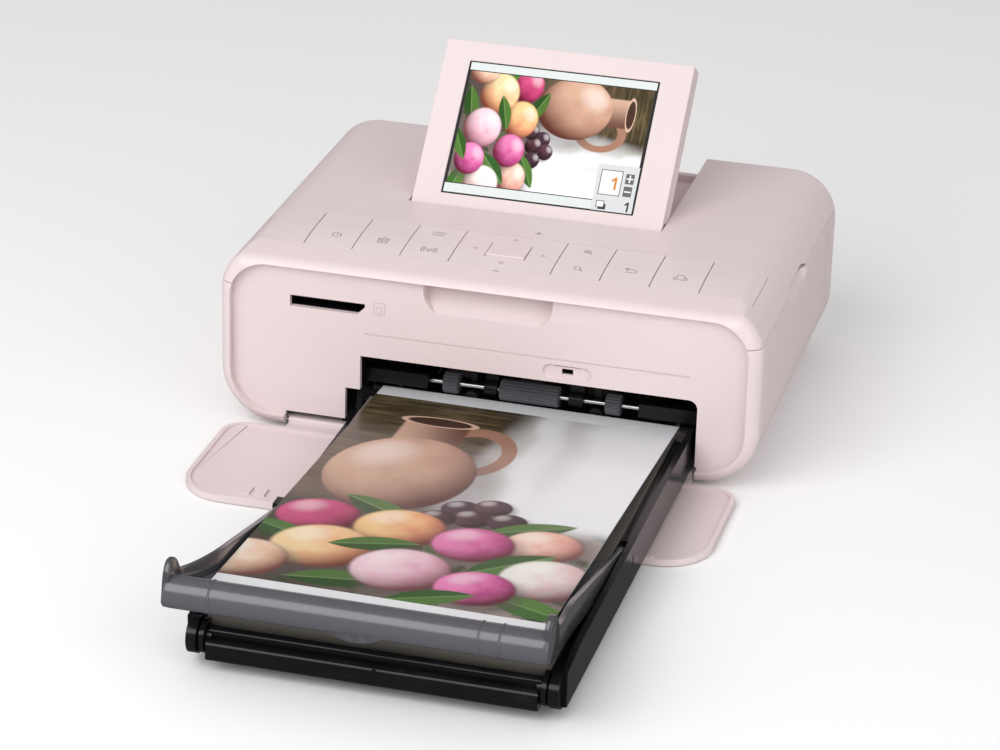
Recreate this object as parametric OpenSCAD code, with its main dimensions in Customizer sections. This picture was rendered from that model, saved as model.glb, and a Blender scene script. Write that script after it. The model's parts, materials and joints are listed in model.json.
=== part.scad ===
/* [Body] */
// Width of the body
body_w = 180.6; // [176:0.1:188]
// Depth of the body with its front door down
body_d = 132.5; // [130:0.5:140]
// Height of the top above the table
body_h = 63.3; // [62.5:0.1:66]
// Height of the underside above the table
foot_h = 1.3; // [1:0.1:1.8]
// Radius of the long edges at the top
top_r = 16; // [14:0.5:18]
// Radius of the long edges at the bottom
bottom_r = 19; // [17:0.5:20]
// Rounding of the front edge
rim_fillet = 5; // [4.5:0.1:5.5]
// Rounding of the rear edge
rear_fillet = 4; // [3:0.1:5]
// Radius of the fall of the top towards the front
crown_r = 140; // [120:5:180]
// Depth at which the top starts to fall
crown_y = 32; // [28:1:38]
// Wall of the casings
wall = 2.2; // [1.8:0.1:2.4]
// Width of the rim round the front
rim_w = 3.9; // [3.5:0.1:4.4]
// Thickness of the rim from front to back
rim_t = 2.95; // [2.6:0.05:3.2]
// Distance from the top down to the seam between top cover and case
seam_drop = 12.8; // [12.4:0.1:13.8]
// Length of the rear cover
rear_len = 15; // [10.5:0.5:16.5]
// Width of a seam
seam_gap = 0.3; // [0.2:0.05:0.5]

/* [Front] */
// Distance from the top down to the fascia's opening
face_drop = 5; // [4.7:0.1:5.8]
// Thickness of the fascia
fascia_t = 1.9; // [1.6:0.1:2.1]
// Width of the step at the mouth's left
step_w = 5; // [4:0.1:6]
// Clearance of the mouth left of the cassette
mouth_left = 2.9; // [1.9:0.1:4.4]
// Clearance of the mouth right of the cassette
mouth_right = 1.5; // [1.2:0.1:2.4]
// Top of the cassette mouth
mouth_z = 29.4; // [29:0.1:29.8]
// Half width of the finger scoop
scoop_w = 21.5; // [18:0.5:24]
// Height of the finger scoop
scoop_h = 11.4; // [10.3:0.1:12.3]
// Distance of the card slot from the body's left side
card_inset = 23.7; // [22.3:0.1:26.3]
// Width of the card slot
card_w = 25.5; // [24:0.1:27]
// Distance from the top down to the card slot's bottom
card_drop = 19.3; // [18.3:0.1:20.3]
// Height of the card slot
card_h = 3.9; // [3.4:0.1:4.2]
// Middle of the latch recess
latch_x = 26.9; // [24:0.1:30]
// Height of the latch recess's middle above the mouth
latch_rise = 3.8; // [3.6:0.1:4.2]

/* [Keys] */
// Front edge of the key band
key_y = 13.7; // [12.5:0.1:15]
// Length of the key band, front to back
key_len = 24.9; // [23:0.1:27]
// Width of one key
key_pitch = 16.3; // [15.8:0.1:16.6]
// Width of the direction plate
nav_w = 34.1; // [32:0.1:35]
// Left edge of the first key
key_x0 = -65.5; // [-66:0.1:-65]
// Gap between two keys
key_gap = 0.35; // [0.3:0.05:0.5]
// Distance of the key band's ends from the body's sides
band_inset = 6.3; // [5.3:0.1:7.3]
// Travel of a key
key_travel = 0.4; // [0.3:0.05:0.45]
// Thickness of a key cap
cap_t = 1.6; // [1.4:0.1:1.7]
// Width of the middle key
ok_w = 12.9; // [12:0.1:14]
// Length of the middle key
ok_len = 10.2; // [9.5:0.1:11]
// Height of the middle key above the plate
ok_rise = 0.7; // [0.5:0.1:1]

/* [Display] */
// Width of the display
disp_w = 86.3; // [84:0.1:88]
// Middle of the display
disp_x = 0.5; // [0:0.1:1.5]
// Length of the display from its hinge
disp_l = 61.5; // [60:0.5:64]
// Thickness of the display
disp_t = 8.4; // [8:0.1:8.6]
// Angle at which the display stands
disp_tilt = 46.1; // [44:0.1:47]
// Distance of the display's hinge from the rear
disp_back = 69.9; // [68.5:0.1:71]
// Width of the screen
screen_w = 66.3; // [64:0.1:68]
// Height of the screen
screen_l = 49.2; // [47:0.1:50]
// Distance of the screen from the hinge
screen_v = 5.1; // [4.9:0.1:5.6]
// Gap between the display and its bay
bay_gap = 0.5; // [0.4:0.1:0.8]
// Length of the bay behind the display
bay_tail = 5.9; // [5:0.1:6]
// Radius of a display pin
disp_pin_r = 1.6; // [1.3:0.1:1.8]

/* [Cassette] */
// Middle of the cassette
cas_x = 12; // [11.6:0.1:12.2]
// Half width of the cassette
cas_w = 56.6; // [56:0.1:57]
// Underside of the cassette above the table
cas_z = 4; // [3.9:0.1:4.2]
// Thickness of the cassette's floor
cas_floor = 1.6; // [1.4:0.1:1.8]
// Thickness of the cassette's side walls
cas_wall = 2; // [1.8:0.1:2.1]
// Height of the cassette's side walls
cas_h = 13; // [12.5:0.1:13.4]
// Front end of the cassette, ahead of the body
cas_front = 163; // [161:0.5:165]
// Depth of the cassette's rear end in the body
cas_rear = 19; // [17:0.5:20]
// Height of the cassette's front wall
nose_h = 6.5; // [6:0.1:7.5]
// Travel of the cassette
cas_travel = 30; // [20:1:40]

/* [Outer cover] */
// Distance of the cover's hinge ahead of the body
lid_y = 78; // [76:0.5:80]
// Height of the cover's hinge
lid_z = 12.2; // [12:0.1:12.4]
// Rise of the cover
lid_tilt = 12.24; // [12:0.02:13]
// Thickness of the cover's arms
arm_t = 2; // [1.8:0.1:2.2]
// Gap between the arms and the cassette's walls
arm_gap = 0.8; // [0.6:0.1:1]
// Distance from the hinge to the front roll
roll_s = 91.6; // [90:0.1:93]
// Radius of the front roll
roll_r = 4.9; // [4.5:0.1:5]
// Reach of the roll left of the cassette's middle
roll_left = 59.2; // [58:0.1:60]
// Reach of the roll right of the cassette's middle
roll_right = 54.6; // [54.3:0.1:58]
// Radius of a cover pin
lid_pin_r = 1.5; // [1.3:0.1:1.7]

/* [Paper] */
// Width of the paper
paper_w = 100; // [99:0.5:101]
// Thickness of a printed sheet
sheet_t = 0.3; // [0.2:0.05:0.35]
// Length of the printed sheet
sheet_l = 167.5; // [160:0.5:168]
// Depth of the sheet's rear edge
sheet_y = 8; // [7:0.5:9]
// Height of the sheet at the body's front
sheet_z = 16.55; // [16.5:0.05:17]
// Slope of the sheet
sheet_tilt = 3.35; // [3.2:0.01:3.36]
// Height of the paper stack
stack_h = 5; // [2:0.1:5.2]

/* [Front door] */
// Distance of the front door's ends from the body's sides
door_inset = 4.1; // [2.3:0.1:6.3]
// Far edge of the front door, ahead of the body
door_far = 57; // [54:0.5:60]
// Near edge of the front door, ahead of the body
door_near = 1.5; // [1:0.1:2]
// Underside of the front door
door_z = 0.2; // [0.1:0.05:0.3]
// Thickness of the front door's plate
door_t = 1.4; // [1.2:0.1:1.5]
// Radius of the far corners
door_far_r = 16; // [12:1:20]
// Radius of the near corners
door_near_r = 8; // [6:1:12]
// Depth of the front door's hinge
door_y = 4; // [3.8:0.1:4.2]
// Height of the front door's hinge
door_hinge_z = 2.6; // [2.5:0.05:2.65]
// Radius of the front door's barrel
door_barrel_r = 1.2; // [1.1:0.05:1.25]

/* [Side door] */
// Height of the side door's hinge
side_z = 9.6; // [9:0.1:11]
// Radius of the side door's barrel
side_barrel_r = 2.3; // [2.1:0.1:2.5]
// Radius of a side door pin
side_pin_r = 1; // [0.8:0.05:1.2]

/* [Mechanism] */
// Depth of the feed shaft
feed_y = 14; // [13.5:0.1:14.5]
// Height of the feed shaft
feed_z = 19.2; // [19.2:0.1:19.6]
// Radius of the feed shaft
feed_shaft_r = 0.9; // [0.8:0.05:1]
// Radius of the feed rollers
feed_r = 3.95; // [3.6:0.05:4.1]
// Module of the gears
gear_m = 1; // [1:0.001:1.01]
// Teeth of the feed gear
feed_teeth = 16; // [16]
// Teeth of the idler gear
idler_teeth = 24; // [24]
// Teeth of the platen gear
platen_teeth = 24; // [24]
// Teeth of the motor pinion
pinion_teeth = 12; // [12]
// Width of the gears
gear_w = 4; // [3:0.1:4.4]
// Radius of the platen roller
platen_r = 6; // [5.5:0.1:6.3]
// Radius of the platen's shaft
platen_shaft_r = 2; // [1.8:0.1:2.5]
// Radius of the grip rollers
grip_r = 3.2; // [2.8:0.1:3.3]
// Radius of the grip shafts
grip_shaft_r = 1.5; // [1.2:0.1:1.7]
// Thickness of the chassis sheet
sheet_metal_t = 1.2; // [1:0.1:1.4]
// Front edge of the chassis
chassis_y = 28; // [27.8:0.1:29]
// Rear edge of the chassis
chassis_rear = 94; // [92:0.5:95.5]
// Distance from the top down to the chassis
chassis_drop = 13.5; // [13.3:0.1:13.9]
// Underside of the chassis
chassis_z = 6.5; // [6:0.1:7]
// Depth of the full ribbon spool
supply_y = 46; // [45.8:0.1:46.2]
// Depth of the used ribbon spool
takeup_y = 70; // [69.8:0.1:71]
// Height of the ribbon spools
spool_z = 38; // [37.8:0.1:38.2]
// Outer radius of the ribbon tubes
tube_r = 7.8; // [7.6:0.1:7.9]
// Running clearance of shafts and pins
run = 0.05; // [0.03:0.01:0.08]
// Motor radius
motor_r = 12; // [11:0.5:12.5]

/* [Hidden] */
$fn = 48;

// Small gap between fixed pieces
fit = 0.15;
// Everything is drawn from the front face of the body and moved so that
// the origin lies at the middle of the whole object on the table
roll_dn = -3.5;
ring_rise = 0.35;
lid_front = lid_y + roll_s * cos(lid_tilt) - roll_dn * sin(lid_tilt) + roll_r + ring_rise;
front_y = (lid_front - body_d) / 2;
half = body_w / 2;
floor_z = foot_h + wall;
seam_z = body_h - seam_drop;
rear_seam_y = body_d - rear_len;
face_top = body_h - face_drop;
mouth_x0 = cas_x - cas_w - mouth_left;
mouth_x1 = cas_x + cas_w + mouth_right;
step_x = mouth_x0 + step_w;
scoop_z = face_top - scoop_h;
card_x0 = card_inset - half;
card_z = body_h - card_drop;
latch_z = mouth_z + latch_rise;
band_w = half - band_inset;
disp_y = body_d - disp_back;
door_w = half - door_inset;
chassis_top = body_h - chassis_drop;
crown_z = body_h - crown_r;
nose_z = crown_z + sqrt(pow(crown_r - rim_fillet, 2) - pow(crown_y - rim_fillet, 2));

module seat() { translate([0, front_y, 0]) children(); }

// A rectangle between two corners
module box2(x0, x1, y0, y1) { translate([x0, y0]) square([x1 - x0, y1 - y0]); }

// A block between two corners
module block(x0, x1, y0, y1, z0, z1) {
    translate([x0, y0, z0]) cube([x1 - x0, y1 - y0, z1 - z0]);
}

// Rectangle with the two radii fa at its low end and fb at its high end
module soft_rect(x0, x1, y0, y1, fa, fb) {
    box2(x0, x1, y0 + fa, y1 - fb);
    box2(x0 + fa, x1 - fa, y0, y0 + fa);
    box2(x0 + fb, x1 - fb, y1 - fb, y1);
    for (x = [x0 + fa, x1 - fa]) translate([x, y0 + fa]) circle(fa);
    for (x = [x0 + fb, x1 - fb]) translate([x, y1 - fb]) circle(fb);
}

// Carries a drawing in depth and height along the width
module along_x(x0, x1) {
    translate([x0, 0, 0]) rotate([90, 0, 90]) linear_extrude(x1 - x0) children();
}

// Carries a drawing in width and height along the depth
module along_y(y0, y1) {
    translate([0, y1, 0]) rotate([90, 0, 0]) linear_extrude(y1 - y0) children();
}

// A rod across the width
module rod(x0, x1, y, z, r) {
    translate([x0, y, z]) rotate([0, 90, 0]) cylinder(h = x1 - x0, r = r);
}

// A tube or ring across the width
module ring(x0, x1, y, z, r, hole) {
    difference() {
        rod(x0, x1, y, z, r);
        rod(x0 - 1, x1 + 1, y, z, hole);
    }
}

// Side outline of the body, shrunk by g: a flat top that falls to the front
module side_profile(g) {
    touch_y = crown_y - (crown_y - rim_fillet) * (crown_r - g) / (crown_r - rim_fillet);
    box2(crown_y, body_d + 1, -1, body_h - g);
    intersection() {
        translate([crown_y, crown_z]) circle(crown_r - g, $fn = 360);
        box2(touch_y, crown_y + 1, -1, body_h);
    }
    box2(g, crown_y + 1, -1, nose_z);
    translate([rim_fillet, nose_z]) circle(rim_fillet - g);
}

// Outer form of the body, shrunk by g on every side
module body_form(g) {
    fa = max(rim_fillet - g, 0.5);
    fb = max(rear_fillet - g, 0.5);
    y0 = g;
    y1 = body_d - g;
    z0 = foot_h + g;
    z1 = body_h - g;
    top_x = half - top_r;
    bottom_x = half - bottom_r;
    intersection() {
        union() {
            along_x(-bottom_x, bottom_x) mirror([1, -1]) soft_rect(z0, z1, y0, y1, fa, fb);
            along_x(-top_x, top_x) mirror([1, -1]) soft_rect(foot_h + bottom_r, z1, y0, y1, fa, fb);
            translate([0, 0, foot_h + bottom_r]) linear_extrude(body_h - top_r - foot_h - bottom_r)
                soft_rect(g - half, half - g, y0, y1, fa, fb);
            for (s = [-1, 1]) {
                corner_disc(s * top_x, body_h - top_r, top_r - g, y0, y1, fa, fb);
                corner_disc(s * bottom_x, foot_h + bottom_r, bottom_r - g, y0, y1, fa, fb);
            }
        }
        along_x(-half - 1, half + 1) side_profile(g);
    }
}

// One long edge of the body, a round bar with rounded ends
module corner_disc(x, z, r, y0, y1, fa, fb) {
    translate([x, 0, z]) rotate([-90, 0, 0]) rotate_extrude($fn = 96) intersection() {
        soft_rect(-r, r, y0, y1, fa, fb);
        box2(0, r + 1, y0 - 1, y1 + 1);
    }
}

// Outline of the opening in the rim, grown by g
module face_outline(g) {
    w = half - rim_w + g;
    z0 = foot_h + rim_w - g;
    z1 = face_top + g;
    rb = bottom_r - rim_w + g;
    rt = top_r - rim_w + g;
    box2(-w, w, z0 + rb, z1 - rt);
    box2(rb - w, w - rb, z0, z0 + rb);
    box2(rt - w, w - rt, z1 - rt, z1);
    for (s = [-1, 1]) {
        translate([s * (w - rb), z0 + rb]) circle(rb, $fn = 96);
        translate([s * (w - rt), z1 - rt]) circle(rt, $fn = 96);
    }
}

// How far the fascia reaches behind the rim
rim_lap = 0.8;
fascia_y = rim_t + 0.05;
fascia_back = fascia_y + fascia_t;

// The whole casing before it is split at the seams
module case_shell() {
    difference() {
        body_form(0);
        intersection() {
            body_form(wall);
            block(-half, half, rim_t, body_d, 0, body_h);
        }
        along_y(-1, rim_t + 1) face_outline(0);
        along_y(rim_t, fascia_back + fit) face_outline(rim_lap + fit);
    }
}

// Half of the finger dip over the side door, cut across the seam
dip_y0 = 44;
dip_y1 = 77;
dip_r = 6;
dip_depth = 1.8;
module finger_dip() {
    for (y = [dip_y0 + dip_r, dip_y1 - dip_r])
        translate([half + dip_r - dip_depth, y, seam_z]) sphere(dip_r);
    translate([half + dip_r - dip_depth, dip_y0 + dip_r, seam_z]) rotate([-90, 0, 0])
        cylinder(h = dip_y1 - dip_y0 - 2 * dip_r, r = dip_r);
}

// Bay of the display
bay_w = disp_w / 2 + bay_gap;
bay_y = disp_y - disp_t / 2 - 0.4;
bay_end = disp_y + disp_l + bay_tail;
bay_z = body_h - disp_t - 1.4;
disp_z = body_h - disp_t / 2;
bay_wall = 1.8;
pin_boss_r = disp_pin_r + 2;
pin_reach = 4;
board_z = body_h - 15.8;
board_t = 1.6;
// Main board between the chassis and the rear wall, and the posts that carry it
board_y0 = chassis_rear + 3;
board_y1 = body_d - wall - 3;
board_half = 58;
board_posts = [for (x = [-38, 38], y = [board_y0 + 5, board_y1 - 3.3]) [x, y]];
lip_h = 2.5;

module top_cover() color("pink") difference() {
    union() {
        intersection() {
            case_shell();
            block(-half, half, -1, body_d + 1, seam_z + seam_gap / 2, body_h + 1);
        }
        intersection() {
            block(disp_x - bay_w - bay_wall, disp_x + bay_w + bay_wall, bay_y - bay_wall,
                  body_d - wall + 0.5, bay_z - wall, body_h);
            body_form(0.6);
        }
        for (s = [-1, 1])
            rod(disp_x + s * (bay_w + pin_reach / 2 + 0.5) - pin_reach / 2,
                disp_x + s * (bay_w + pin_reach / 2 + 0.5) + pin_reach / 2, disp_y, disp_z, pin_boss_r);
        for (p = board_posts)
            translate([p[0], p[1], board_z + board_t]) cylinder(h = bay_z - board_z - board_t - 1, r = 3);
    }
    block(disp_x - bay_w, disp_x + bay_w, bay_y, bay_end, bay_z, body_h + 1);
    block(disp_x - bay_w, disp_x + bay_w, bay_end - 1, body_d + 1, bay_z + lip_h, body_h + 1);
    rod(disp_x - bay_w - pin_reach - 1, disp_x + bay_w + pin_reach + 1, disp_y, disp_z,
        disp_pin_r + run);
    block(-band_w - fit, band_w + fit, key_y - fit, key_y + key_len + fit, seam_z + 4, body_h + 1);
    finger_dip();
    block(half - wall - 1, half + 1, dip_y1 - 8, dip_y1 - 1, seam_z, seam_z + 1.4);
}

// The lower casing carries the chassis, the feet and the two doors
side_x = half - bottom_r + sqrt(pow(bottom_r, 2) - pow(foot_h + bottom_r - side_z, 2)) - side_barrel_r;
side_y0 = rim_fillet + 0.9;
side_y1 = rear_seam_y - 0.4;
side_lugs = [[side_y0 + 4, side_y0 + 8], [side_y1 - 8, side_y1 - 4]];
lug_gap = 0.3;
boss_h = chassis_z - floor_z;
chassis_x0 = cas_x - paper_w / 2 - 8;
chassis_x1 = cas_x + paper_w / 2 + 4;
chassis_posts = [for (x = [chassis_x0 + 8, chassis_x1 - 8], y = [chassis_y + 7, chassis_rear - 7]) [x, y]];
screw_r = 1.5;
foot_r = 5;
foot_sink = 0.8;
foot_places = [for (s = [-1, 1], y = [12, rear_seam_y - 9]) [s * (half - bottom_r - 5), y]];
notch_left = 20.5;
notch_x0 = mouth_x0 - notch_left;
notch_x1 = mouth_x1 + 0.5;
notch_z = door_hinge_z + door_barrel_r + 2.4;
notch_y = door_y + door_barrel_r + 0.8;
door_pin_r = 0.7;
door_pin_l = 4;

module main_case() color("pink") difference() {
    union() {
        difference() {
            intersection() {
                case_shell();
                block(-half, half, -1, rear_seam_y - seam_gap / 2, 0, seam_z - seam_gap / 2);
            }
            // Opening of the side door
            block(half - top_r, half + 1, side_y0 - seam_gap, side_y1 + seam_gap, side_z, seam_z);
            translate([side_x, side_y0 - seam_gap, side_z]) rotate([-90, 0, 0])
                cylinder(h = side_y1 - side_y0 + 2 * seam_gap, r = side_barrel_r + 0.5);
        }
        for (p = chassis_posts)
            translate([p[0], p[1], floor_z - 0.5]) cylinder(h = boss_h + 0.5, r = 4);
        for (l = side_lugs) {
            translate([side_x, l[0], side_z]) rotate([-90, 0, 0]) cylinder(h = l[1] - l[0], r = side_barrel_r);
            intersection() {
                translate([side_x, l[0], side_z]) rotate([0, -35, 0])
                    block(-side_barrel_r - 6, 0, 0, l[1] - l[0], -side_barrel_r, side_barrel_r);
                body_form(0.8);
            }
        }
    }
    // Notch for the front door's hinge, and the mouth's open bottom
    block(notch_x0, notch_x1, -1, notch_y, 0, notch_z);
    rod(notch_x0 - door_pin_l, notch_x1 + door_pin_l, door_y, door_hinge_z, door_pin_r + 0.02);
    for (p = chassis_posts)
        translate([p[0], p[1], 0]) {
            cylinder(h = chassis_z + 1, r = screw_r + 0.2);
            cylinder(h = floor_z + 0.6, r = 3.2);
        }
    for (p = foot_places) translate([p[0], p[1], 0]) cylinder(h = foot_h + foot_sink, r = foot_r + 0.1);
    translate([side_x, side_y0, side_z]) rotate([-90, 0, 0])
        cylinder(h = side_y1 - side_y0, r = side_pin_r + 0.02);
}

// Rear wall with vents, the paper's slot and the supply socket
vent_n = 9;
vent_pitch = 4;
guide_z = 23;
jack_x = 40;
jack_z = board_z - 4;
module rear_cover() color("pink") difference() {
    intersection() {
        case_shell();
        block(-half, half, rear_seam_y + seam_gap / 2, body_d + 1, 0, seam_z - seam_gap / 2);
    }
    for (i = [0 : vent_n - 1])
        block(-66 + i * vent_pitch, -64.2 + i * vent_pitch, body_d - wall - 1, body_d + 1, 34, 46);
    block(cas_x - paper_w / 2 - 3, cas_x + paper_w / 2 + 3, body_d - wall - 1, body_d + 1, guide_z,
          guide_z + 6);
    block(jack_x - 5, jack_x + 5, body_d - wall - 1, body_d + 1, jack_z - 4, jack_z + 4);
}

// The fascia: a plate behind the rim, with slot, mouth, scoop and latch recess
card_chamfer = 2.6;
groove_z = mouth_z + 8;
groove_x0 = step_x + 1.5;
groove_x1 = mouth_x1 - 2.9;
mouth_r = 3;
step_z = cas_z + cas_h + 0.4;
groove_d = 0.35;
scoop_back = 10;
module scoop_outline(g) {
    r = 8.5 + g;
    box2(-scoop_w - g, scoop_w + g, scoop_z + r - g, face_top + rim_lap);
    box2(r - scoop_w - g, scoop_w + g - r, scoop_z - g, scoop_z + r);
    for (s = [-1, 1]) translate([s * (scoop_w + g - r), scoop_z + r - g]) circle(r);
}
// Mouth, wider below where the cassette goes in, grown by g
module mouth_outline(g, z0) {
    box2(mouth_x0 - g, mouth_x1 + g, z0, step_z + g);
    box2(step_x - g, mouth_x1 + g, z0, mouth_z - mouth_r);
    box2(step_x - g, mouth_x1 - mouth_r, z0, mouth_z + g);
    translate([mouth_x1 - mouth_r, mouth_z - mouth_r]) circle(mouth_r + g);
}

module front_fascia() color("pink") difference() {
    union() {
        along_y(fascia_y, fascia_back) face_outline(rim_lap);
        intersection() {
            along_y(fascia_y, scoop_back) scoop_outline(1.5);
            body_form(wall + fit);
        }
    }
    // The scoop is hollowed by a cylinder across
    intersection() {
        rod(-scoop_w - 1, scoop_w + 1, fascia_y - 6, face_top, 12);
        along_y(fascia_y - 1, scoop_back + 1) scoop_outline(0);
    }
    along_y(0, 9) mouth_outline(0, 0);
    block(notch_x0, notch_x1, 0, 9, 0, notch_z);
    along_y(0, 9) polygon([[card_x0, card_z], [card_x0 + card_w - card_chamfer, card_z],
                           [card_x0 + card_w, card_z + card_chamfer], [card_x0 + card_w, card_z + card_h],
                           [card_x0, card_z + card_h]]);
    block(groove_x0, groove_x1, 0, fascia_y + groove_d, groove_z - 0.25, groove_z + 0.25);
    // Capsule recess with the latch's square hole
    for (x = [latch_x - 5.7, latch_x + 5.7])
        translate([x, fascia_y - 1, latch_z]) rotate([-90, 0, 0]) cylinder(h = 1.8, r = 2.35);
    block(latch_x - 5.7, latch_x + 5.7, fascia_y - 1, fascia_y + 0.8, latch_z - 2.35, latch_z + 2.35);
    block(latch_x - 1.9, latch_x + 1.9, 0, 9, latch_z - 1, latch_z + 1);
    block(latch_x - 4.4, latch_x + 4.2, 0, fascia_y + 1.2, latch_z + 1.7, latch_z + 2.1);
}

// Slab that follows the top between the insets g0 and g1
module crown_slab(x0, x1, g0, g1) {
    along_x(x0, x1) difference() {
        side_profile(g0);
        side_profile(g1);
    }
}

// Strip and carrier of the keys
carrier_g = wall + 0.1;
carrier_t = 1.2;
cap_g = 0.1;
key_edge = [key_x0, key_x0 + key_pitch, key_x0 + 2 * key_pitch, key_x0 + 3 * key_pitch,
            key_x0 + 3 * key_pitch + nav_w, key_x0 + 4 * key_pitch + nav_w,
            key_x0 + 5 * key_pitch + nav_w, key_x0 + 6 * key_pitch + nav_w];
nav_x = (key_edge[3] + key_edge[4]) / 2;
key_y1 = key_y + key_len;
key_mid = key_y + key_len / 2;
kb_z = body_h - 8.9;
kb_t = 1.2;
mat_t = 0.8;
dome_h = 0.9;
mat_z = kb_z + kb_t;
stem_z = mat_z + mat_t + dome_h + key_travel + 0.05;
post_x = key_edge[7] + 2.6;
// Middles of the single keys, with their widths and lengths
key_cells = [[0, 1, key_y, key_y1], [1, 2, key_y, key_y1], [2, 3, key_mid, key_y1],
             [2, 3, key_y, key_mid], [4, 5, key_mid, key_y1], [4, 5, key_y, key_mid],
             [5, 6, key_y, key_y1], [6, 7, key_y, key_y1]];
function cell_x(c) = (key_edge[c[0]] + key_edge[c[1]]) / 2;
function cell_y(c) = (c[2] + c[3]) / 2;
stem_r = 1.8;

// The body's top over the keys' length, shrunk by g
strip_g = carrier_g + carrier_t + 0.5;
module band_form(g) intersection() {
    along_y(key_y - 1, key_y1 + 1) {
        box2(top_r - half, half - top_r, seam_z - 1, body_h - g);
        box2(g - half, half - g, seam_z - 1, body_h - top_r);
        for (s = [-1, 1]) translate([s * (half - top_r), body_h - top_r]) circle(top_r - g);
    }
    along_x(-half, half) side_profile(g);
}

module key_panel() color("pink") {
    difference() {
        union() {
            // End strips, flush with the top
            for (x = [[-band_w, key_edge[0] - key_gap / 2], [key_edge[7] + key_gap / 2, band_w]])
                intersection() {
                    difference() {
                        band_form(0.05);
                        band_form(strip_g);
                    }
                    block(x[0], x[1], key_y, key_y1, seam_z, body_h);
                }
            // Carrier under the keys
            intersection() {
                crown_slab(key_edge[0] - 6, key_edge[7] + 6, carrier_g, carrier_g + carrier_t);
                block(-band_w, band_w, key_y - 1.5, key_y1 + 1.5, seam_z, body_h);
            }
        }
        for (c = key_cells)
            translate([cell_x(c), cell_y(c), seam_z]) cylinder(h = 20, r = stem_r + 0.5);
        block(key_edge[3] + 1.5, key_edge[4] - 1.5, key_y + 0.5, key_y1 - 0.5, seam_z, body_h + 1);
    }
    for (s = [-1, 1])
        translate([s * post_x, key_mid, kb_z + kb_t]) cylinder(h = body_h - 3.2 - kb_z - kb_t, r = 2);
    // Lugs that carry the direction plate's ring
    for (s = [-1, 1]) difference() {
        block(nav_x + s * 14 - 1.9, nav_x + s * 14 + 1.9, key_mid - 2, key_mid + 2, pivot_z - 1.4,
              body_h - 3.1);
        rod(nav_x - 20, nav_x + 20, key_mid, pivot_z, ring_pin_r + run);
    }
}

module key_board() color("darkgreen") difference() {
    block(-band_w + 3, band_w - 3, key_y - 1, key_y1 + 1, kb_z, kb_z + kb_t);
    for (s = [-1, 1]) translate([s * post_x, key_mid, kb_z - 1]) cylinder(h = 4, r = 0.8);
}

// Room for the direction plate's corners when it rocks both ways at once
nav_room = 0.2;
module key_mat() color("gainsboro") {
    difference() {
        block(key_edge[0], key_edge[7], key_y, key_y1, mat_z, mat_z + mat_t);
        translate([nav_x, key_mid, mat_z - 1]) cylinder(h = 4, r = 1);
    }
    for (c = key_cells)
        translate([cell_x(c), cell_y(c), mat_z]) cylinder(h = mat_t + dome_h, r = 2.4);
    for (x = [-13, 13], y = [-9, 9])
        translate([nav_x + x, key_mid + y, mat_z]) cylinder(h = mat_t + dome_h - nav_room, r = 2);
}

// A key: a cap that follows the top, on a stem over its dome
module key(i) color("pink") {
    c = key_cells[i];
    intersection() {
        crown_slab(key_edge[c[0]] + key_gap / 2, key_edge[c[1]] - key_gap / 2, cap_g, cap_g + cap_t);
        block(-half, half, c[2] + key_gap / 2, c[3] - key_gap / 2, seam_z, body_h + 1);
    }
    intersection() {
        translate([cell_x(c), cell_y(c), stem_z]) cylinder(h = 20, r = stem_r);
        along_x(-half, half) side_profile(cap_g + cap_t / 2);
    }
}

// The direction plate rocks both ways on a ring with four pins
pivot_z = body_h - 5.5;
ring_r = 10;
ring_t = 2;
ring_pin_r = 0.5;
module nav_gimbal() color("dimgray") {
    translate([nav_x, key_mid, pivot_z]) {
        difference() {
            translate([0, 0, -0.7]) cylinder(h = 1.4, r = ring_r);
            translate([0, 0, -2]) cylinder(h = 4, r = ring_r - ring_t);
        }
        for (s = [-1, 1]) {
            rotate([0, s * 90, 0]) translate([0, 0, ring_r - 0.5]) cylinder(h = 5, r = ring_pin_r);
            rotate([s * 90, 0, 0]) translate([0, 0, ring_r - 8.5]) translate([0, 0, 8])
                cylinder(h = 2, r = ring_pin_r);
        }
    }
}
module nav_plate() color("pink") {
    difference() {
        intersection() {
            crown_slab(key_edge[3] + key_gap / 2, key_edge[4] - key_gap / 2, cap_g, cap_g + cap_t);
            block(-half, half, key_y + key_gap / 2, key_y1 - key_gap / 2, seam_z, body_h + 1);
        }
        block(nav_x - ok_w / 2 - key_gap, nav_x + ok_w / 2 + key_gap, key_mid - ok_len / 2 - key_gap,
              key_mid + ok_len / 2 + key_gap, seam_z, body_h + 1);
    }
    for (s = [-1, 1]) difference() {
        intersection() {
            block(nav_x - 1.5, nav_x + 1.5, key_mid + s * (ring_r + 0.95) - 0.65,
                  key_mid + s * (ring_r + 0.95) + 0.65, pivot_z - 1, body_h);
            along_x(-half, half) side_profile(cap_g + cap_t / 2);
        }
        translate([nav_x, key_mid, pivot_z]) rotate([90, 0, 0])
            cylinder(h = 40, r = ring_pin_r + run, center = true);
    }
    // Plungers over the domes
    for (x = [-13, 13], y = [-9, 9]) intersection() {
        translate([nav_x + x, key_mid + y, stem_z]) cylinder(h = 10, r = 1.6);
        along_x(-half, half) side_profile(cap_g + cap_t / 2);
    }
}
module key_ok() color("pink") {
    translate([nav_x, key_mid, 0]) {
        block(-ok_w / 2, ok_w / 2, -ok_len / 2, ok_len / 2, body_h - 2.2 - 0.3, body_h + ok_rise - 0.6);
        translate([0, 0, stem_z]) cylinder(h = body_h - 2.4 - stem_z, r = stem_r);
    }
}

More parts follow.
